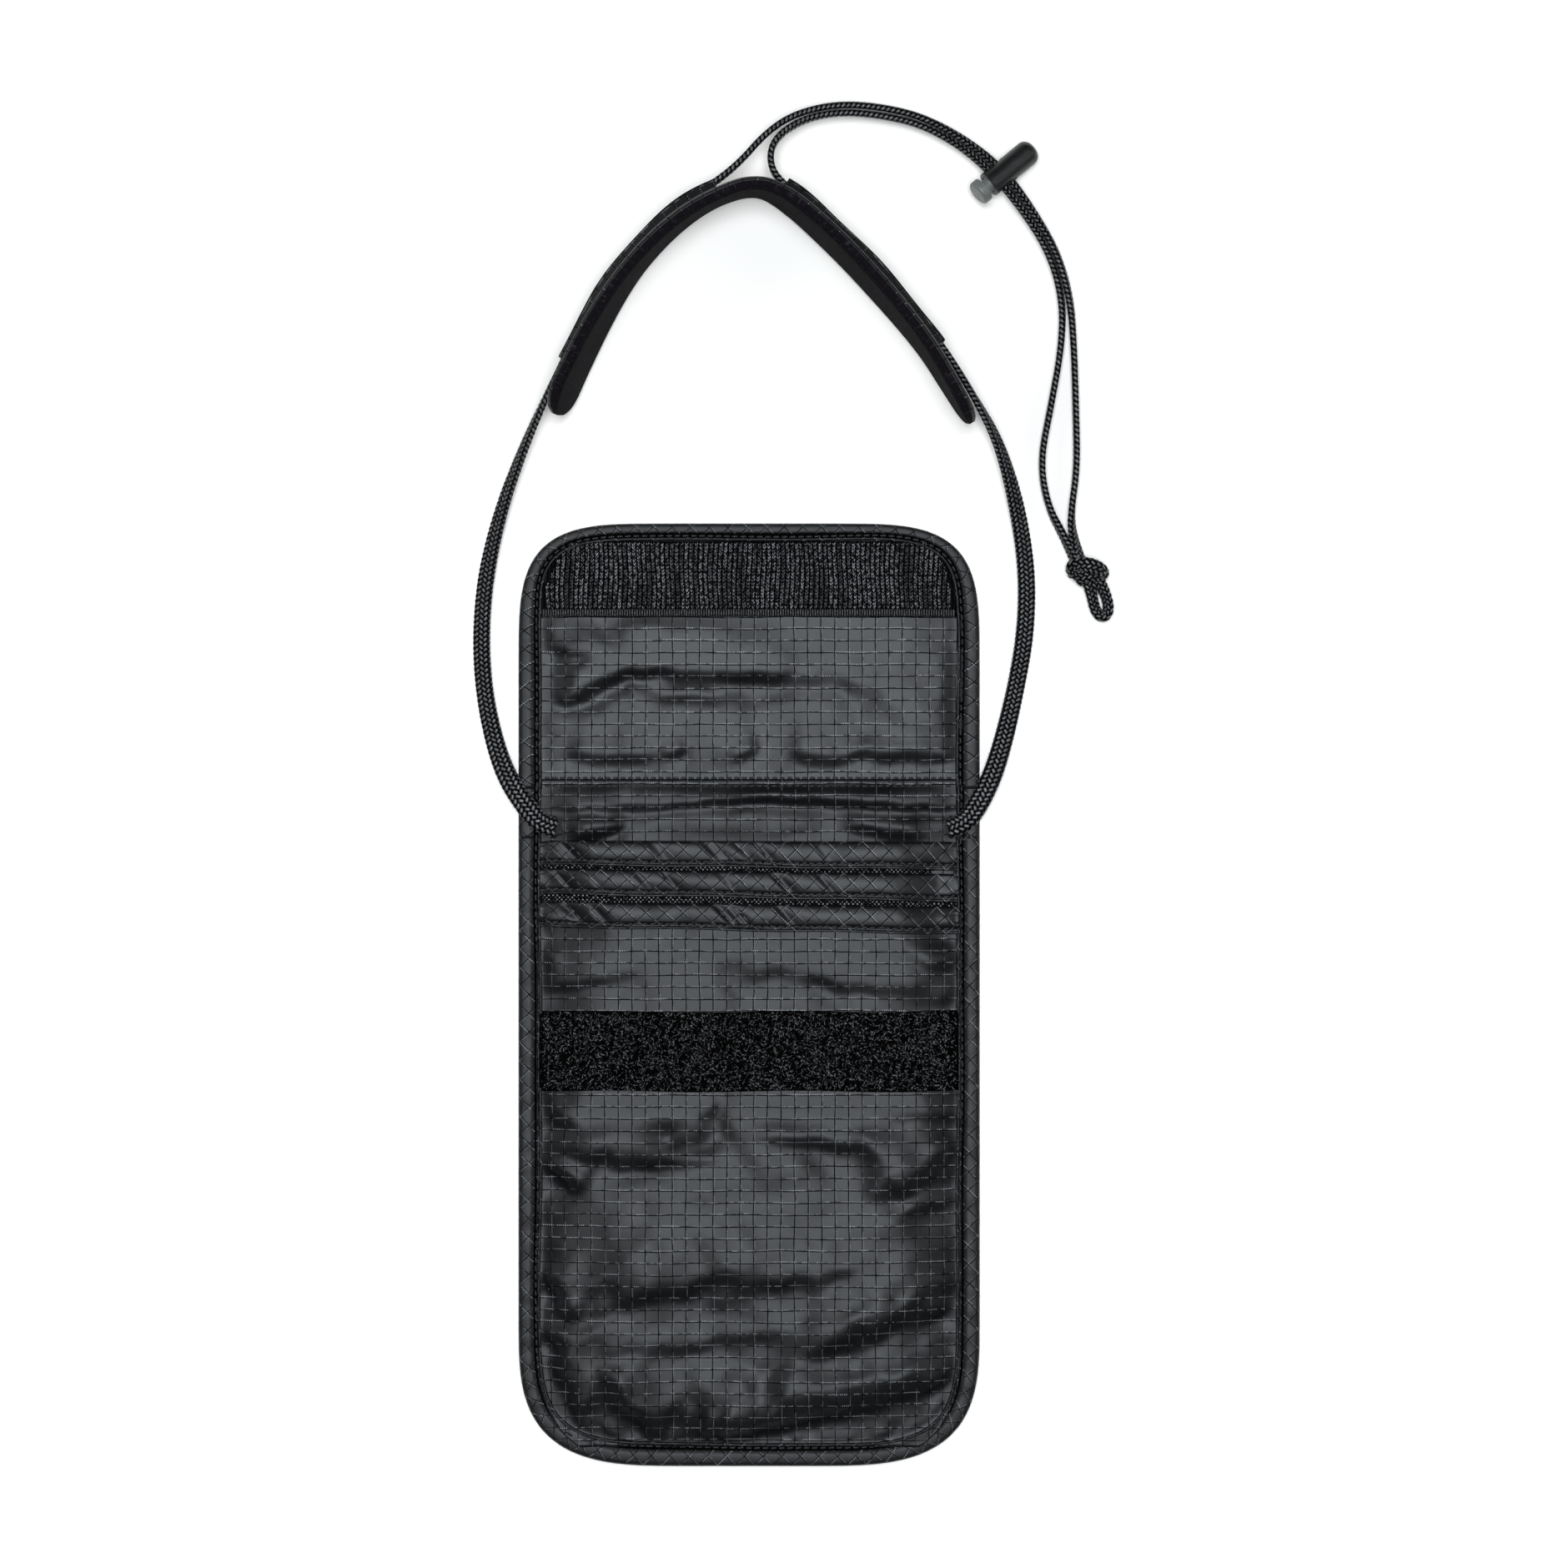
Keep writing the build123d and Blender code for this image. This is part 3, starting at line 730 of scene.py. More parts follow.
# Faces of the binding's seam groove, which take the near-black painted shade cloth.
SEAM_SHADE_SIDES = [0, 0, 0, 1, 1, 1] + [0] * 13
BINDING_FLOOR = 0.05
STITCH_INSET = 1.5
FLAP_BINDING_THICK = 2.3


def bias_loft(name, rings, runs):
    """A run of binding through rings of points, with the floor of its seam groove in near-black cloth as
    painted shade.
    """
    lay = spread(runs, reach_along(rings[len(rings) // 2]))
    return belongs(loft(name, rings, lay, (BIAS, SEAM_SHADE), SEAM_SHADE_SIDES), "binding_tape")


def make_binding(name, edge, widths, thick, seed, body, node):
    """Bias tape folded and stitched round an edge, with slight puckers between its stitches."""
    normals = outward(edge)
    runs = reach_along(edge)
    widths = np.broadcast_to(widths, runs.shape)
    inward, share = np.moveaxis(np.array([binding_profile(width) for width in widths]), 2, 0)
    waves = puckers(runs, 0, 7.3, 1, 0.09, seed) + 0.015 * np.sin(runs * 2 * math.pi / 2.5)
    height = share * thick + np.clip(share * 2 - 1, 0, 1) * (waves * 1.2)[:, None]
    drift = 0.28 * np.sin(runs / 23.0 + seed) + 0.16 * np.sin(runs / 9.1 + 2 * seed)
    inward = inward + drift[:, None] * np.clip(inward / 7, 0, 1)
    plan = edge[:, None, :] - normals[:, None, :] * inward[..., None]
    rings = np.concatenate([plan, (height + BINDING_FLOOR)[..., None]], 2)
    belongs(bias_loft(name, rings, runs), "binding_tape", body, node)
    path = edge - normals * (widths - STITCH_INSET + drift)[:, None]
    path = np.concatenate([path, np.full((len(edge), 1), thick * 0.72 + BINDING_FLOOR)], 1)
    add_stitches(f"{node}_stitches", path, body)


def make_fold_binding(side):
    """The straight run of binding beside the fold, and its stitches."""
    name = f"fold_binding_{'left' if side < 0 else 'right'}"
    y = np.linspace(fold_low[1] - 0.8, fold_high[1] + 0.8, 14)
    inward, share = binding_profile(FOLD_BINDING_WIDE).T
    x = side * (half_width - inward)
    rings = np.stack(np.broadcast_arrays(x, y[:, None], share * FLAP_BINDING_THICK + BINDING_FLOOR), 2)
    rings = rings[::-1] if side < 0 else rings
    stitch_x = side * (half_width - FOLD_BINDING_WIDE + STITCH_INSET)
    path = np.stack(np.broadcast_arrays(stitch_x, y, 1.75), 1)
    return bias_loft(name, rings, rings[:, 0, 1]), add_stitches(name + "_stitches", path, None)


# ---- loop strip
LOOP_COUNT = 5200


def make_loop_strip():
    """Loop tape: a woven ground with a random pile of small loops on it."""
    across = np.linspace(-inner_half - 0.6, inner_half + 0.6, 150)
    x, y = np.meshgrid(across, np.linspace(loop_low[1], loop_high[1], 34))
    y = y + 0.25 * np.sin(x / 9) * np.abs(y - y.mean()) / 12
    base = layer_height("front", x, y)
    edge = np.minimum(y - y.min(), y.max() - y)
    z = base + 0.35 + 0.75 * smoothstep(edge / 1.4) + ripples(x, y, 8, 3.2, 0.10)
    z += rng.normal(0, 0.09, x.shape)
    ground = cloth_between("loop_tape", x, y, z, base + 0.03, LOOP_PILE)
    belongs(ground, "loop_tape", "pouch", "loop_strip")

    cx = rng.uniform(-inner_half + 0.3, inner_half - 0.3, LOOP_COUNT)
    cy = rng.uniform(loop_low[1] + 0.3, loop_high[1] - 0.3, LOOP_COUNT)
    centre = np.stack([cx, cy, layer_height("front", cx, cy) + 0.95], 1)
    heading = rng.uniform(0, 2 * math.pi, LOOP_COUNT)
    size = rng.uniform(0.45, 0.95, LOOP_COUNT)[:, None, None]
    lift = rng.uniform(0.25, 0.75, LOOP_COUNT)[:, None, None]
    tilt = rng.uniform(-0.7, 0.7, LOOP_COUNT)[:, None]
    level = np.stack([np.cos(heading), np.sin(heading), 0 * heading], 1)
    side = np.stack([-np.sin(heading), np.cos(heading), 0 * heading], 1)
    rise = side * np.sin(tilt) + UP * np.cos(tilt)
    arc = np.linspace(-0.25, math.pi + 0.25, 6)[:, None]
    loops = centre[:, None] + level[:, None] * size * np.cos(arc) + rise[:, None] * lift * np.sin(arc)
    fibres = tuft_mesh("loop_pile_fibres", loops, 0.075, LOOP_FIBRE)
    return [ground, belongs(fibres, "loop_tape", "pouch")]


# ---- flap
FLAP_FOLDS = [
    (-63, 105.4, -47, 104.2, 1.5, 0.9), (-45, 99.8, 14, 97.4, 3.4, 2.6), (-29, 93.6, -9, 91.6, 1.8, 0.8),
    (-53, 91.0, -38, 98.5, 3.4, 2.4), (-58, 88.5, -49, 90.0, 2.0, 1.2), (16, 97.5, 34, 95.0, 3.0, 0.7),
    (-56, 73.6, -30, 71.6, 2.2, 1.1), (-26, 71.6, -19, 75.0, 1.6, 0.9), (-5, 71.0, 3, 74.0, 1.6, 0.9),
    (12, 72.6, 30, 71.2, 2.0, 1.0), (29, 71.0, 37, 75.4, 1.6, 0.9), (34, 72.4, 64, 71.2, 2.4, 1.5),
    (30, 92, 62, 80, 6.0, 0.9), (-40, 110, -28, 105, 4.0, 0.5),
]
STITCH_ROWS = (65.8, 63.4)
FLAP_MARGIN = 5.0


def flap_height(x, y):
    gap = distance_to(FLAP_INNER, x, y)
    puff = 1 - (1 - np.clip(gap / 18, 0, 1)) ** 2
    quiet = smoothstep((hook_low[1] + 4 - y) / 10)
    wrinkles = ripples(x, y, 17, 32, 0.3) + ripples(x, y, 18, 13, 0.09)
    wrinkles *= smoothstep(gap / 6) * (0.35 + 0.65 * quiet)
    wrinkles += 0.95 * creases(x, y, FLAP_FOLDS) * smoothstep((gap + 1) / 5) * quiet
    wrinkles += puckers(y, gap, 9.0, 6.0, 0.3, 31) * smoothstep(gap / 2.5) * quiet
    seam = np.abs(y - STITCH_ROWS[0])
    wrinkles += puckers(x, seam, 7.5, 5.0, 0.38, 32) * smoothstep(seam / 2.0)
    flat_seam = smoothstep(seam / 9)
    level = 1.25 + (1.25 * puff) * (0.35 + 0.65 * flat_seam) + wrinkles * (0.25 + 0.75 * flat_seam)
    return pressed(np.maximum(level, 0.85 + 0.1 * level), 4.1)


def make_flap_cloths():
    """The outer cloth and the lining, which meet inside the flap."""
    low, high = fold_high[1] - 0.2, flap_cloth_top + 0.6
    x, y = cloth_grid(FLAP_EDGE, FLAP_MARGIN, low, (high, high), 1.25)
    lining = cloth_between("flap_lining_cloth", x, y, flap_height(x, y), 0.62, LINING)
    x, y = cloth_grid(FLAP_EDGE, FLAP_MARGIN, low, (high, high), 3.0)
    outer = cloth_between("flap_outer_cloth", x, y, 0.58, 0.08 + ripples(x, y, 41, 22, 0.05), SHELL)
    belongs(lining, "pocket_cloth", "flap", "flap_lining")
    return belongs(outer, "shell_cloth", "flap", "flap_outer"), lining


SELVEDGE_WIDE = 2.5
HOOK_PITCH = (1.45, 1.0)
HOOK_COLUMNS = 44


def make_hook_strip():
    """Hook tape: a flat woven ground with columns of slanting hooks and a plain selvedge."""
    low, high = hook_low[1], hook_high[1] + 0.2
    x_unit, y = np.meshgrid(np.linspace(-1, 1, 130), np.linspace(low, high, 24))
    x = x_unit * np.minimum(half_width_at(FLAP_EDGE, y) - 6.2, inner_half)
    base = flap_height(x, y)
    ground = cloth_between("hook_tape_ground", x, y, base + 0.45, base + 0.04, HOOK_GROUND)
    belongs(ground, "hook_tape", "flap", "hook_strip")

    spines = []
    for column in range(-HOOK_COLUMNS, HOOK_COLUMNS + 1):
        for leg in (-1, 1):
            for row in range(int((high - low - SELVEDGE_WIDE) / HOOK_PITCH[1])):
                hook_x = column * HOOK_PITCH[0] + leg * 0.23
                hook_y = low + SELVEDGE_WIDE + (row + 0.5 + 0.12 * leg) * HOOK_PITCH[1]
                reach = half_width_at(FLAP_EDGE, hook_y) - 7.6
                if abs(hook_x) > reach or hook_y > flap_high[1] - 6.0:
                    continue
                wobble = 0.3 * math.sin(hook_y / 4.1 + hook_x / 9.0)
                spot = np.array([hook_x + wobble + rng.normal(0, 0.05), hook_y, 0.0])
                lean = np.array([leg * 0.2, 0.52, 0.0]) * rng.uniform(0.9, 1.1)
                tall = rng.uniform(0.35, 0.65)
                shape = [(-0.85, 0.02), (-0.4, tall * 0.8), (0.3, tall), (0.85, 0.1)]
                spines.append([spot + lean * slide + UP * rise for slide, rise in shape])
    spines = np.array(spines)
    spines[:, :, 2] += (flap_height(spines[:, 1, 0], spines[:, 1, 1]) + 0.5)[:, None]
    hooks = tuft_mesh("hooks", spines, 0.16, HOOK_YARN, sides=5)
    ribs = np.arange(-inner_half + 0.6, inner_half - 0.4, 0.75)
    x, y = np.meshgrid(ribs, np.linspace(low + 0.2, low + SELVEDGE_WIDE - 0.2, 4), indexing="ij")
    spines = np.stack([x, y, flap_height(x, y) + 0.5], 2)
    selvedge = tuft_mesh("hook_selvedge", spines, 0.24, SELVEDGE, sides=5)
    return [ground] + [belongs(piece, "hook_tape", "flap") for piece in (hooks, selvedge)]


# ---- fold
FOLD_FOLDS = [
    (-62, 57.6, 4, 58.4, 1.5, 0.8), (-8, 58.4, 65, 58.0, 1.7, 1.3), (-53, 46.8, -38, 51.6, 2.2, 1.4),
    (30, 49.8, 52, 48.8, 2.4, 1.3), (-30, 51, 20, 50, 3.0, 0.5),
]


def fold_height(x, y):
    """The cloth between the flap's double seam and the pocket mouths."""
    gap = inner_half + 1 - np.abs(x)
    z = 1.5 + 0.9 * smoothstep(gap / 16) + ripples(x, y, 51, 16, 0.22) * smoothstep(gap / 5)
    mouth = 0.75 * bell((y - 51.0) / 3.4) * smoothstep((np.abs(x) - 40) / 10) * smoothstep(gap / 4)
    return z + creases(x, y, FOLD_FOLDS) + mouth


def make_fold():
    across = np.linspace(-inner_half - 1.4, inner_half + 1.4, 104)
    x, y = np.meshgrid(across, np.linspace(fold_low[1] - 2.2, fold_high[1] + 2.0, 22))
    seam = smoothstep((y - 61.0) / 3.0)
    z = fold_height(x, y) * (1 - seam) + (flap_height(x, y) + 0.12) * seam
    cloth = cloth_between("fold_cloth", x, y, z, 0.1, SHELL)
    belongs(cloth, "shell_cloth", None, "fold_panel", "cord_tunnel", "cord_end_left", "cord_end_right")
    for piece in (cloth, *make_fold_binding(-1), *make_fold_binding(1)):
        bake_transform(piece)


def make_body():
    make_back()
    panels = {
        "rear": make_panel("rear", MESH, 2.6),
        "middle": make_panel("middle", MESH, 2.2),
        "front": make_panel("front", SHELL, 1.2),
    }
    on_panel = {}
    x = np.linspace(-inner_half + 1, inner_half - 1, 160)
    for name, (upper, lower, _) in MOUTHS.items():
        tape = make_tape(name)
        y, z = tape_surface(name, x, np.full(x.shape, TAPE_STITCH_UP / (upper[0] - lower[0])))
        path = np.stack([x, y, z + 0.1], 1)
        on_panel[name] = [tape, add_stitches(f"tape_{name}_stitches", path, "pouch", **FINE)]
    on_panel["front"] += make_loop_strip()
    make_binding("body_edge_binding", BODY_EDGE, BODY_BINDING_WIDE, 2.5, 61, "pouch", "body_binding")


def make_flap():
    outer, lining = make_flap_cloths()
    make_hook_strip()
    make_binding("flap_edge_binding", FLAP_EDGE, FLAP_WIDTHS, FLAP_BINDING_THICK, 71, "flap", "flap_binding")
    x = np.linspace(-inner_half + 0.6, inner_half - 0.6, 160)
    for index, line in enumerate(STITCH_ROWS):
        y = np.full(x.shape, line)
        path = np.stack([x, y, flap_height(x, y) + 0.3], 1)
        add_stitches(f"flap_seam_stitches_{index + 1}", path, "flap", **FINE)


# ---- braided neck cord
# Each point of a cord's line is x, y, z, turn of the flat braid in degrees, its width
# and its thickness. At 0 degrees the flat side faces up, at 90 the braid stands on edge.
LINE_LEFT = [
    (-58.6, 50.6, 2.2, 0, 5.6, 1.7), (-62.9, 51.6, 2.9, 0, 6.0, 1.7), (-67.2, 56.6, 3.6, 2, 6.2, 1.7),
    (-72.8, 64.8, 3.2, 4, 6.0, 1.7), (-77.0, 75.4, 1.7, 8, 5.6, 1.7), (-80.4, 91.2, 1.6, 12, 5.2, 1.7),
    (-81.5, 108.5, 1.7, 14, 5.1, 1.7), (-80.0, 127.5, 2.0, 22, 5.1, 1.7), (-75.2, 147.3, 3.4, 42, 5.0, 1.7),
    (-68.3, 165.2, 7.6, 62, 5.0, 1.7), (-61.7, 179.2, 12.4, 80, 5.0, 1.7),
    (-55.0, 192.6, 15.2, 88, 5.0, 1.7), (-46.8, 208.4, 15.2, 90, 5.0, 1.7),
    (-36.7, 223.2, 15.2, 90, 5.0, 1.7), (-24.8, 235.4, 15.2, 90, 5.0, 1.7),
    (-12.6, 243.0, 15.2, 90, 5.0, 1.7), (-3.4, 250.0, 14.8, 86, 5.0, 1.7), (5.6, 260.6, 12.6, 84, 5.0, 1.7),
    (14.8, 266.7, 9.4, 82, 5.0, 1.75), (27.6, 269.8, 6.4, 80, 5.0, 1.8), (40.8, 269.0, 4.6, 80, 5.0, 1.8),
    (53.3, 265.9, 4.6, 80, 4.8, 1.8), (66.4, 258.4, 5.9, 84, 3.8, 2.1), (77.2, 249.2, 6.7, 90, 2.7, 2.45),
    (85.7, 237.8, 5.6, 84, 3.8, 2.1), (93.3, 225.6, 3.4, 80, 4.9, 1.8), (97.5, 211.4, 2.8, 80, 5.1, 1.75),
    (98.6, 196.0, 2.8, 86, 5.2, 1.65), (99.1, 177.0, 2.8, 90, 5.2, 1.65), (99.5, 160.0, 2.8, 90, 5.2, 1.65),
    (97.6, 146.0, 2.8, 84, 5.0, 1.7), (98.2, 138.6, 2.9, 66, 4.4, 1.9), (100.6, 131.4, 3.4, 50, 4.0, 2.2),
]
LINE_RIGHT = [
    (60.6, 50.4, 2.2, 0, 5.6, 1.7), (65.1, 51.6, 2.9, 0, 6.0, 1.7), (69.2, 57.2, 3.6, -2, 6.2, 1.7),
    (73.6, 65.8, 3.2, -4, 6.0, 1.7), (77.2, 77.0, 1.7, -8, 5.7, 1.7), (80.9, 92.6, 1.6, -12, 5.3, 1.7),
    (84.0, 110.0, 1.7, -12, 5.3, 1.7), (84.4, 129.0, 1.8, -14, 5.2, 1.7), (81.2, 149.0, 2.8, -30, 5.2, 1.7),
    (75.6, 167.2, 8.2, -56, 5.0, 1.7), (68.2, 180.0, 12.8, -80, 5.0, 1.7),
    (60.4, 192.4, 15.2, -88, 5.0, 1.7), (50.2, 206.0, 15.2, -90, 5.0, 1.7),
    (38.6, 219.2, 15.2, -90, 5.0, 1.7), (26.2, 231.8, 15.2, -90, 5.0, 1.7),
    (14.2, 241.4, 15.2, -90, 5.0, 1.7), (6.6, 247.8, 14.9, -90, 5.0, 1.7),
    (6.6, 257.2, 13.4, -90, 5.0, 1.7), (15.6, 264.5, 9.4, -90, 5.0, 1.75),
    (27.6, 267.4, 6.4, -96, 5.0, 1.8), (40.2, 266.6, 4.6, -98, 5.0, 1.8), (52.5, 263.7, 4.6, -98, 4.8, 1.8),
    (65.0, 256.6, 5.9, -94, 3.8, 2.1), (75.2, 247.3, 6.7, -90, 2.7, 2.45),
    (83.9, 236.4, 5.6, -94, 3.8, 2.1), (91.3, 224.6, 3.4, -98, 4.9, 1.8),
    (95.2, 211.0, 2.8, -98, 5.1, 1.75), (94.8, 196.4, 2.8, -94, 5.2, 1.65),
    (91.4, 178.0, 2.8, -90, 5.2, 1.65), (88.2, 161.6, 2.8, -90, 5.2, 1.65),
    (90.6, 148.0, 2.8, -90, 5.0, 1.7), (95.4, 139.2, 2.9, -80, 4.4, 1.9), (99.2, 131.4, 3.2, -60, 4.0, 2.2),
]
LINE_END = [
    (101.6, 129.6, 4.0, -20, 3.6, 2.4), (103.2, 124.4, 4.0, -25, 4.0, 2.2),
    (104.1, 120.3, 3.2, -28, 3.3, 1.8), (105.1, 116.4, 2.3, -20, 3.3, 1.8),
    (107.3, 114.4, 2.1, 0, 3.4, 1.8), (109.2, 116.4, 2.3, 20, 3.3, 1.8), (108.5, 120.6, 3.0, 28, 3.3, 1.8),
    (106.6, 124.4, 3.8, 24, 3.8, 2.2), (103.6, 130.0, 4.4, 10, 3.6, 2.4),
]


def spline_line(line, step):
    """The line of a cord: a NURBS curve through its control points, read back evenly spaced."""
    curve = bpy.data.curves.new("line", "CURVE")
    curve.dimensions = "3D"
    curve.resolution_u = 12
    spline = curve.splines.new("NURBS")
    spline.points.add(len(line) - 1)
    for point, place in zip(spline.points, line):
        point.co = (place[0] * MM, place[1] * MM, place[2] * MM, 1)
    spline.order_u = 3
    spline.use_endpoint_u = True
    holder = bpy.data.objects.new("line", curve)
    bpy.context.collection.objects.link(holder)
    read = bpy.data.meshes.new_from_object(holder)
    places = np.array([tuple(vertex.co) for vertex in read.vertices]) / MM
    bpy.data.meshes.remove(read)
    bpy.data.objects.remove(holder)
    bpy.data.curves.remove(curve)
    spans = len(line) - 2
    peaks = np.concatenate([[0], np.arange(spans) + 0.5, [spans]])
    share = np.linspace(0, spans, len(places))
    extra = [np.interp(share, peaks, column) for column in np.array(line, float).T[3:]]
    return even_steps(np.concatenate([places, np.stack(extra, 1)], 1), step)


def flat_oval(share, width, thick):
    """Points (across, up) round a flat oval, with share running from 0 to 1 round it."""
    radius = thick / 2
    straight = np.maximum(width - thick, 0.01)
    half = straight + math.pi * radius
    place = np.mod(share, 1.0) * 2 * half
    way = np.where(place < half, 1, -1)
    place = np.where(place < half, place, place - half)
    turn = np.clip(place - straight, 0, None) / radius
    across = np.minimum(place, straight) - straight / 2 + radius * np.sin(turn)
    return way * across, way * radius * np.cos(turn)


def cord_frames(path):
    """Sideways and upward directions along a line, turned by the line's own angle."""
    ahead = unit(np.gradient(path[:, :3], axis=0))
    side = unit(np.cross(ahead, UP))
    over = np.cross(side, ahead)
    turn = np.radians(path[:, 3])[:, None]
    return side * np.cos(turn) + over * np.sin(turn), over * np.cos(turn) - side * np.sin(turn)


CARRIERS = 8
BRAID_LAY = 12.6
STRAND_THICK = 0.34
STRAND_SHARE = 0.576
STRAND_LIFT = 0.16
STRAND_SECTION = [(-0.5, 0.0), (-0.3, 0.42), (0.0, 0.62), (0.3, 0.42), (0.5, 0.0), (0.0, -0.3)]
CORE_SIDES = 16


def braided(name, line, step, node):
    """A flat tubular braid: eight strands each way, each over two and under two others."""
    path = spline_line(line, step)
    across_way, up_way = cord_frames(path)
    length = reach_along(path)
    wide, thick = path[:, 4], path[:, 5]
    slack = STRAND_THICK * 1.2
    strand_wide = STRAND_SHARE * (2 * (wide - thick) + math.pi * thick) / CARRIERS
    sides = len(STRAND_SECTION)
    points, faces, lay = [], [], []
    for way in (1, -1):
        for carrier in range(CARRIERS):
            turns = carrier / CARRIERS + way * length / BRAID_LAY
            phase = 2 * carrier + way * 2 * CARRIERS * length / BRAID_LAY
            wave = np.cos(math.pi / 2 * phase - math.pi / 4) * way
            rise = STRAND_LIFT * np.tanh(2.2 * wave)
            (x, z), before, after = [
                flat_oval(turns + nudge, wide - slack, thick - slack) for nudge in (0, -0.004, 0.004)
            ]
            tangent = unit(np.stack(after, 1) - np.stack(before, 1))
            normal = np.stack([-tangent[:, 1], tangent[:, 0]], 1)
            centre = path[:, :3] + across_way * (x + normal[:, 0] * rise)[:, None]
            centre = centre + up_way * (z + normal[:, 1] * rise)[:, None]
            ahead = unit(np.gradient(centre, axis=0))
            side = unit(np.cross(ahead, across_way * normal[:, :1] + up_way * normal[:, 1:]))
            out = np.cross(side, ahead) * STRAND_THICK
            rings = [centre + side * (w * strand_wide)[:, None] + out * h for w, h in STRAND_SECTION]
            faces += tube_faces(len(path), sides, len(points) * len(path) * sides)
            points.append(np.stack(rings, 1).reshape(-1, 3))
            spots = np.zeros((len(path), sides, 3))
            spots[:, :, 0] = np.array(STRAND_SECTION)[:, 0] + carrier
            spots[:, :, 1] = length[:, None]
            # How far each strand rides over the others, which the braid material paints as highlight on top
            # and shade where it dives.
            spots[:, :, 2] = np.clip(wave, 0, 1)[:, None]
            lay.append(spots.reshape(-1, 3))
    share = np.arange(CORE_SIDES) / CORE_SIDES
    x, z = flat_oval(share, (wide - 0.75)[:, None], (thick - 0.75)[:, None])
    core = path[:, None, :3] + across_way[:, None, :] * x[..., None] + up_way[:, None, :] * z[..., None]
    faces += tube_faces(len(path), CORE_SIDES, len(points) * len(path) * sides)
    points.append(core.reshape(-1, 3))
    lay.append(np.zeros((len(path) * CORE_SIDES, 3)))
    piece = add_mesh(name, np.concatenate(points), faces, BRAID, np.concatenate(lay))
    return belongs(piece, "cord", "neck_strap", node), path


def make_cords():
    for name, node, line, step, diameter, stiffness, every in (
        ("braid_left", "cord_left", LINE_LEFT, 0.45, 5.2, "limp", 2),
        ("braid_right", "cord_right", LINE_RIGHT, 0.45, 5.2, "limp", 2),
        ("braid_end", "cord_end_loop", LINE_END, 0.4, 3.6, "medium", 1),
    ):
        piece, path = braided(name, line, step, node)


KNOT_LINES = {
    "knot_wrap_upper": [
        (98.0, 127.2, 2.2, -20, 4.4, 2.6), (96.4, 129.6, 4.2, -30, 4.8, 2.6),
        (98.8, 131.0, 6.4, -25, 5.2, 2.6), (103.6, 130.6, 7.6, 0, 5.4, 2.6),
        (108.0, 128.8, 6.6, 25, 5.4, 2.6), (109.2, 127.2, 4.2, 40, 5.0, 2.6),
        (107.4, 127.6, 2.0, 20, 4.6, 2.4),
    ],
    "knot_wrap_lower": [
        (97.6, 128.0, 3.6, -30, 3.6, 2.4), (99.0, 126.0, 5.2, -20, 4.0, 2.4),
        (102.6, 126.2, 6.6, 5, 4.4, 2.4), (106.4, 126.6, 5.8, 25, 4.4, 2.4),
        (108.4, 125.4, 4.0, 35, 4.2, 2.4), (107.0, 124.6, 2.2, 20, 4.0, 2.2),
    ],
    "knot_tuck": [
        (98.4, 128.4, 3.0, -30, 3.2, 2.2), (99.6, 125.4, 3.8, -20, 3.4, 2.2),
        (101.6, 123.9, 3.2, 0, 3.4, 2.2), (103.4, 125.4, 2.4, 10, 3.2, 2.2),
    ],
}
KNOT_CENTRE = (101, 129.3)
KNOT_SHARE = 0.8


def make_knot():
    for name, line in KNOT_LINES.items():
        tight = []
        for x, y, z, roll, wide, thick in line:
            x = KNOT_CENTRE[0] + KNOT_SHARE * (x - KNOT_CENTRE[0])
            y = KNOT_CENTRE[1] + KNOT_SHARE * (y - KNOT_CENTRE[1])
            tight.append((x, y, 0.85 * z + 0.2, roll, 0.82 * wide, 0.82 * thick))
        braided(name, tight, 0.4, "cord_knot")


# ---- neck pad
PAD_LINE = [
    (-58.4, 175.2), (-51.8, 190.4), (-43.6, 206.4), (-33.8, 220.8), (-22.4, 232.6), (-10.4, 240.3),
    (2.2, 244.4), (12.0, 239.6), (23.7, 229.1), (35.9, 216.7), (47.3, 203.6), (57.8, 189.4), (67.2, 172.6),
]
PAD_LEANS = [8.5, 6.5, 4.0, 1.5, 0.0, -1.5, -1.0, 2.5, 3.4, 3.0, 3.0, 2.4, 0.4]
PAD_TALL = 30.0
PAD_THICK = 4.0
PAD_FLOOR = 0.25
PAD_TIP = 11.0


def end_gap(length):
    return np.minimum(length, length[-1] - length)


def pad_stations():
    """The pad's line seen from above, with its lean at each point, and the distance along it."""
    path = spline_line([(x, y, 0, lean, 1, 1) for (x, y), lean in zip(PAD_LINE, PAD_LEANS)], 1.0)
    path[:, 3] += 1.2 * np.sin(np.arange(len(path)) / 17.0)
    return path, reach_along(path)


def pad_out(path):
    """Level directions square to the pad, towards its back."""
    ahead = unit(np.gradient(path[:, :2], axis=0))
    return np.stack([-ahead[:, 1], ahead[:, 0]], 1)


def pad_surface(path, length, share, offset):
    """Points of the pad: share -1 to 1 from its lower to its upper edge, offset from its middle."""
    tip = np.clip(end_gap(length) / PAD_TIP, 0, 1)
    tall = PAD_TALL / 2 * np.sqrt(np.clip(1 - (1 - tip) ** 2.2, 0.002, 1))
    height = share * tall[:, None]
    lean = np.radians(path[:, 3])[:, None]
    away = offset * np.cos(lean) + height * np.sin(lean)
    level = PAD_TALL / 2 + PAD_FLOOR + height * np.cos(lean) - offset * np.sin(lean)
    plan = path[:, None, :2] + pad_out(path)[:, None, :] * away[..., None]
    return np.concatenate([plan, level[..., None]], 2)


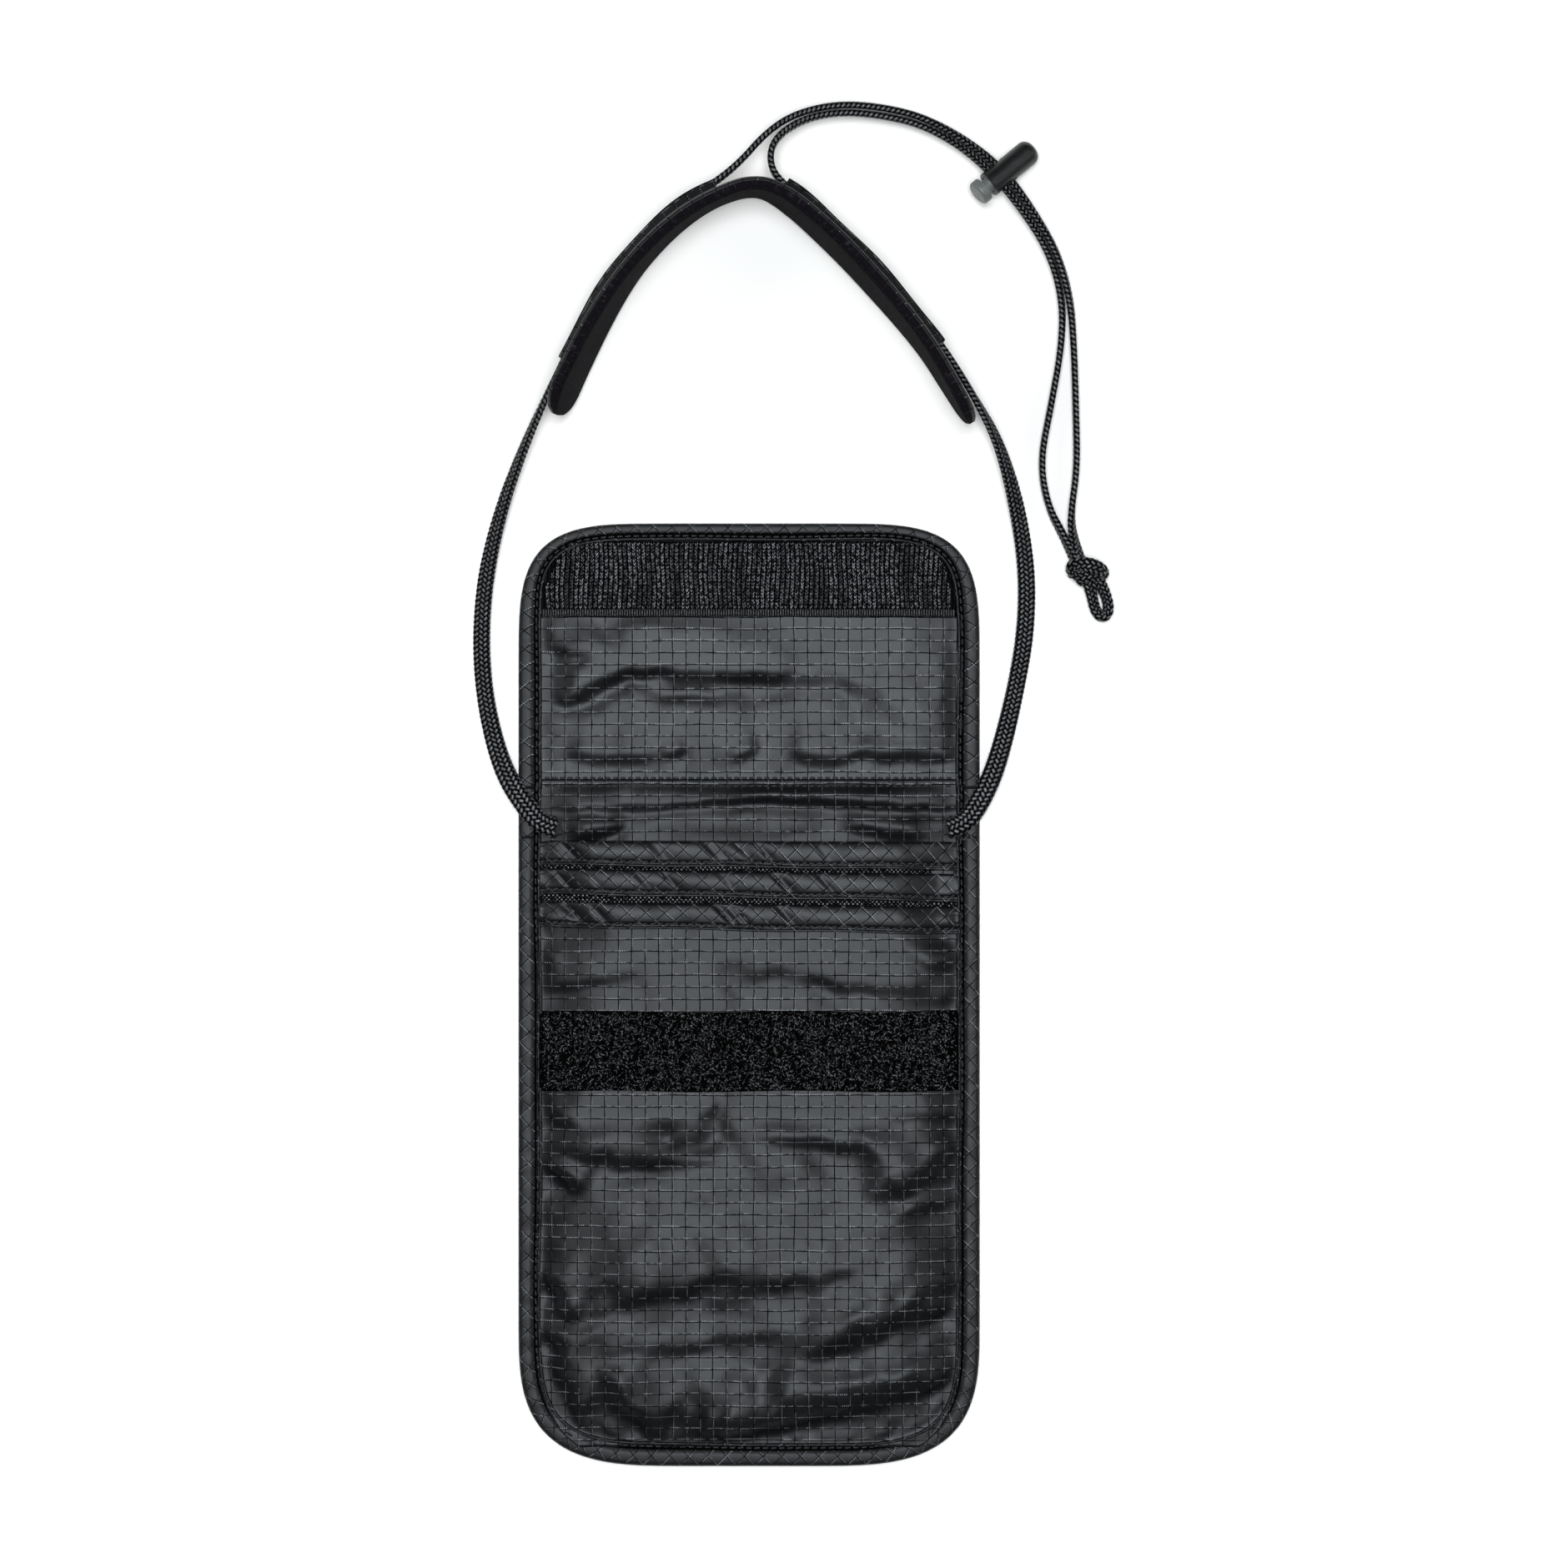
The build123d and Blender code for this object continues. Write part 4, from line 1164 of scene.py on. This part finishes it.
def pad_half_thick(length, share):
    """Half the pad's thickness: full in the middle, pinched at its sewn edges and ends."""
    tip = np.clip(end_gap(length)[:, None] / 6.0, 0, 1)
    edge = np.clip(1 - np.abs(share), 0, 1)
    round_edge = np.sqrt(np.clip(1 - (1 - np.clip(edge / 0.16, 0, 1)) ** 2, 0, 1))
    body = (0.30 + 0.70 * round_edge) * (0.45 + 0.55 * np.sqrt(1 - (1 - tip) ** 2))
    return PAD_THICK / 2 * (body - 0.22 * bell((edge - 0.11) / 0.035))


def make_pad():
    path, length = pad_stations()
    share = np.sin(np.linspace(-math.pi / 2, math.pi / 2, 41))[None, :]
    lay = spread(length, share[0] * PAD_TALL / 2)
    half = pad_half_thick(length, share)
    ends = end_gap(length)[:, None] / 3
    core = 0.4 * half * np.clip((0.88 - np.abs(share)) / 0.1, 0, 1) * np.clip(ends - 0.3, 0, 1)
    rim = 0.8 * half * smoothstep((np.abs(share) - 0.88) / 0.08)
    soft = 1 + 0.05 * np.sin(length / 6.1)[:, None] * np.cos(share * 3)
    foam_share = share * 0.86
    foam = 0.384 * pad_half_thick(length, foam_share) * np.clip(ends - 0.4, 0.02, 1)
    for name, node, slot, material, shares, near, far in (
        ("pad_fleece_face", "pad_face", "fleece", FLEECE, share, -half * soft, rim - core - 0.01),
        ("pad_cloth_back", "pad_back", "shell_cloth", SHELL, share, rim + core + 0.01, half),
        ("pad_foam", "pad_core", "foam", FOAM, foam_share, -foam, foam),
    ):
        faces = [pad_surface(path, length, shares, offset) for offset in (near, far)]
        piece = belongs(closed_shell(name, *faces, lay, material), slot, "neck_strap", node)
    for side in ("left", "right"):
        make_sleeve(side, path, length)
    inner = np.concatenate([-pad_out(path), np.zeros((len(path), 1))], 1)
    for name, where in (("upper", 0.885), ("lower", -0.885)):
        spot = np.full((len(path), 1), where)
        rim = pad_surface(path, length, spot, -pad_half_thick(length, spot) - 0.05)[:, 0]
        # The pad's stitches wear the near-black seam shade cloth, so they show dark and dull against the
        # fleece.
        add_stitches(
            f"pad_stitches_{name}", rim[5:-5], "neck_strap", inner[5:-5],
            pitch=2.8, length=1.5, radius=0.12, material=SEAM_SHADE,
        )


SLEEVE_HALF = 6.6


def make_sleeve(side, path, length):
    """An open-ended channel of cloth sewn along the back of the pad, with the cord in it."""
    low, high = node_box(f"pad_sleeve_{side}")
    first, last = np.where((path[:, 0] > low[0] - 1.0) & (path[:, 0] < high[0] - 1.0))[0][[0, -1]]
    rows = slice(first, last + 1)
    level = np.linspace(-1, 1, 25)
    share = np.broadcast_to(level * SLEEVE_HALF / (PAD_TALL / 2), (len(path), 25))
    bulge = 3.0 * smoothstep((5.6 - np.abs(level) * SLEEVE_HALF) / 2.0)
    bulge = bulge * (1 + 0.08 * np.sin(length / 5.2)[:, None]) + pad_half_thick(length, share)
    inner, outer = [pad_surface(path, length, share, bulge + gap)[rows] for gap in (0.04, 0.35)]
    piece = closed_shell(f"sleeve_{side}", inner, outer, spread(length[rows], level * 10), SHELL)
    belongs(piece, "pocket_cloth", "neck_strap", f"pad_sleeve_{side}")


# ---- cord lock
LOCK_CENTRE = np.array([76.3, 248.3, 6.7])
LOCK_ALONG = np.array([0.743789, 0.635256, -0.207912])
SPRING_LOW, SPRING_HIGH = 6.65, 10.95
SPRING_TURNS = 4
SPRING_RADIUS = 1.8


def make_spring():
    """The lock's coil spring, at a single fixed length."""
    across = unit(np.cross(LOCK_ALONG, UP))
    third = np.cross(LOCK_ALONG, across)
    turn = np.linspace(0, SPRING_TURNS * 2 * math.pi, 97)[:, None]
    rise = np.linspace(SPRING_LOW, SPRING_HIGH, 97)[:, None]
    around = across * np.cos(turn) + third * np.sin(turn)
    spine = LOCK_CENTRE + LOCK_ALONG * rise + SPRING_RADIUS * around
    spring = tuft_mesh("spring_coil", spine[None], 0.225, STEEL, sides=10)
    belongs(spring, "spring_steel", "cord_lock", "lock_spring")
    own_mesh(spring)


def finish_lock():
    make_spring()
    for node, material in (("lock_barrel", BARREL), ("lock_plunger", BUTTON)):
        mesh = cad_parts[node].data
        mesh.materials.clear()
        mesh.materials.append(material)


# ---- cord mouths
MOUTH_Y = 50.9


def make_cord_mouths():
    """The hole each cord goes into, as a near-black patch of painted shade, and the bar of thread that holds
    its end.
    """
    for side, way in (("left", -1), ("right", 1)):
        mouth = abs(node_box("cord_tunnel")[0 if way < 0 else 1][0])
        spines = []
        for step in range(9):
            x = np.full(6, way * (mouth - 2.6 + 0.26 * step) + rng.normal(0, 0.05))
            y = np.linspace(48.4, 53.4, 6) + rng.normal(0, 0.08)
            spines.append(np.stack([x, y, fold_height(x, y) + 0.28 + 0.06 * (step % 2)], 1))
        bar = tuft_mesh(f"tack_{side}", np.array(spines), 0.17, THREAD, sides=6)
        belongs(bar, "thread", "pouch", f"bar_tack_{side}")
        # The mouth: a flat near-black patch, painted shade where the cord dips in.
        turn = np.linspace(0, 2 * math.pi, 37)[:-1]
        shares = np.array([0.02, 0.5, 0.85, 1.0])[:, None]
        x = way * (mouth - 0.4) + shares * 1.7 * np.cos(turn)
        y = MOUTH_Y + shares * 3.5 * np.sin(turn)
        z = fold_height(x, y) + np.array([0.3, 0.34, 0.36, 0.1])[:, None]
        rings = np.stack([x, y, z], 2)
        belongs(loft(f"cord_mouth_{side}", rings, rings[:, :, :2], HOLE_SHADE), "pocket_cloth", "pouch")


make_body()
make_flap()
make_fold()
make_cords()
make_knot()
make_pad()
finish_lock()
make_cord_mouths()

# ---- floor, light and camera
CAMERA_HEIGHT = 1320.0
VIEW_CENTRE = (10.6, 64.0)
VIEW_WIDTH = 476.6

FLOOR_REACH = 4.0


def area_light(name, place, target, size, power, tint):
    lamp = bpy.data.lights.new(name, "AREA")
    lamp.shape = "RECTANGLE"
    lamp.size, lamp.size_y = size
    lamp.energy = power
    lamp.color = tint
    holder = bpy.data.objects.new(name, lamp)
    holder.location = place
    holder.rotation_euler = (Vector(target) - Vector(place)).to_track_quat("-Z", "Y").to_euler()
    bpy.context.collection.objects.link(holder)


def make_stage():
    paint = Shader("floor_paint", Roughness=0.8)
    tone = paint.noise(paint.node("ShaderNodeTexCoord").outputs["Object"], 3.0)
    paint.colour(tone, (0.98, 0.94, 0.89, 1), (0.99, 0.95, 0.9, 1))
    mesh = bpy.data.meshes.new("floor")
    corners = [(-1, -1), (1, -1), (1, 1), (-1, 1)]
    mesh.from_pydata([(x * FLOOR_REACH, y * FLOOR_REACH, 0) for x, y in corners], [], [(0, 1, 2, 3)])
    mesh.materials.append(paint.material)
    floor = bpy.data.objects.new("floor", mesh)
    bpy.context.collection.objects.link(floor)

    area_light("overhead", (0.0, 0.14, 1.75), (0.0, 0.06, 0), (0.62, 0.86), 34, (0.89, 0.945, 1.0))
    area_light("left", (-1.7, 0.9, 1.2), (0, 0, 0), (0.9, 0.9), 8, (1.0, 1.0, 1.0))
    area_light("right", (1.7, 0.3, 1.2), (0, 0, 0), (0.9, 0.9), 5, (1.0, 1.0, 1.0))
    world = bpy.data.worlds.new("studio")
    world.use_nodes = True
    background = world.node_tree.nodes["Background"]
    background.inputs["Color"].default_value = (0.9, 0.94, 1.0, 1)
    background.inputs["Strength"].default_value = 0.05
    bpy.context.scene.world = world
    bpy.context.scene.view_settings.view_transform = "Standard"

    lens = bpy.data.cameras.new("camera")
    lens.sensor_width = 36.0
    lens.lens = 36.0 * CAMERA_HEIGHT / VIEW_WIDTH
    lens.clip_end = 20
    camera = bpy.data.objects.new("camera", lens)
    camera.location = (VIEW_CENTRE[0] * MM, VIEW_CENTRE[1] * MM, CAMERA_HEIGHT * MM)
    bpy.context.collection.objects.link(camera)
    bpy.context.scene.camera = camera


make_stage()
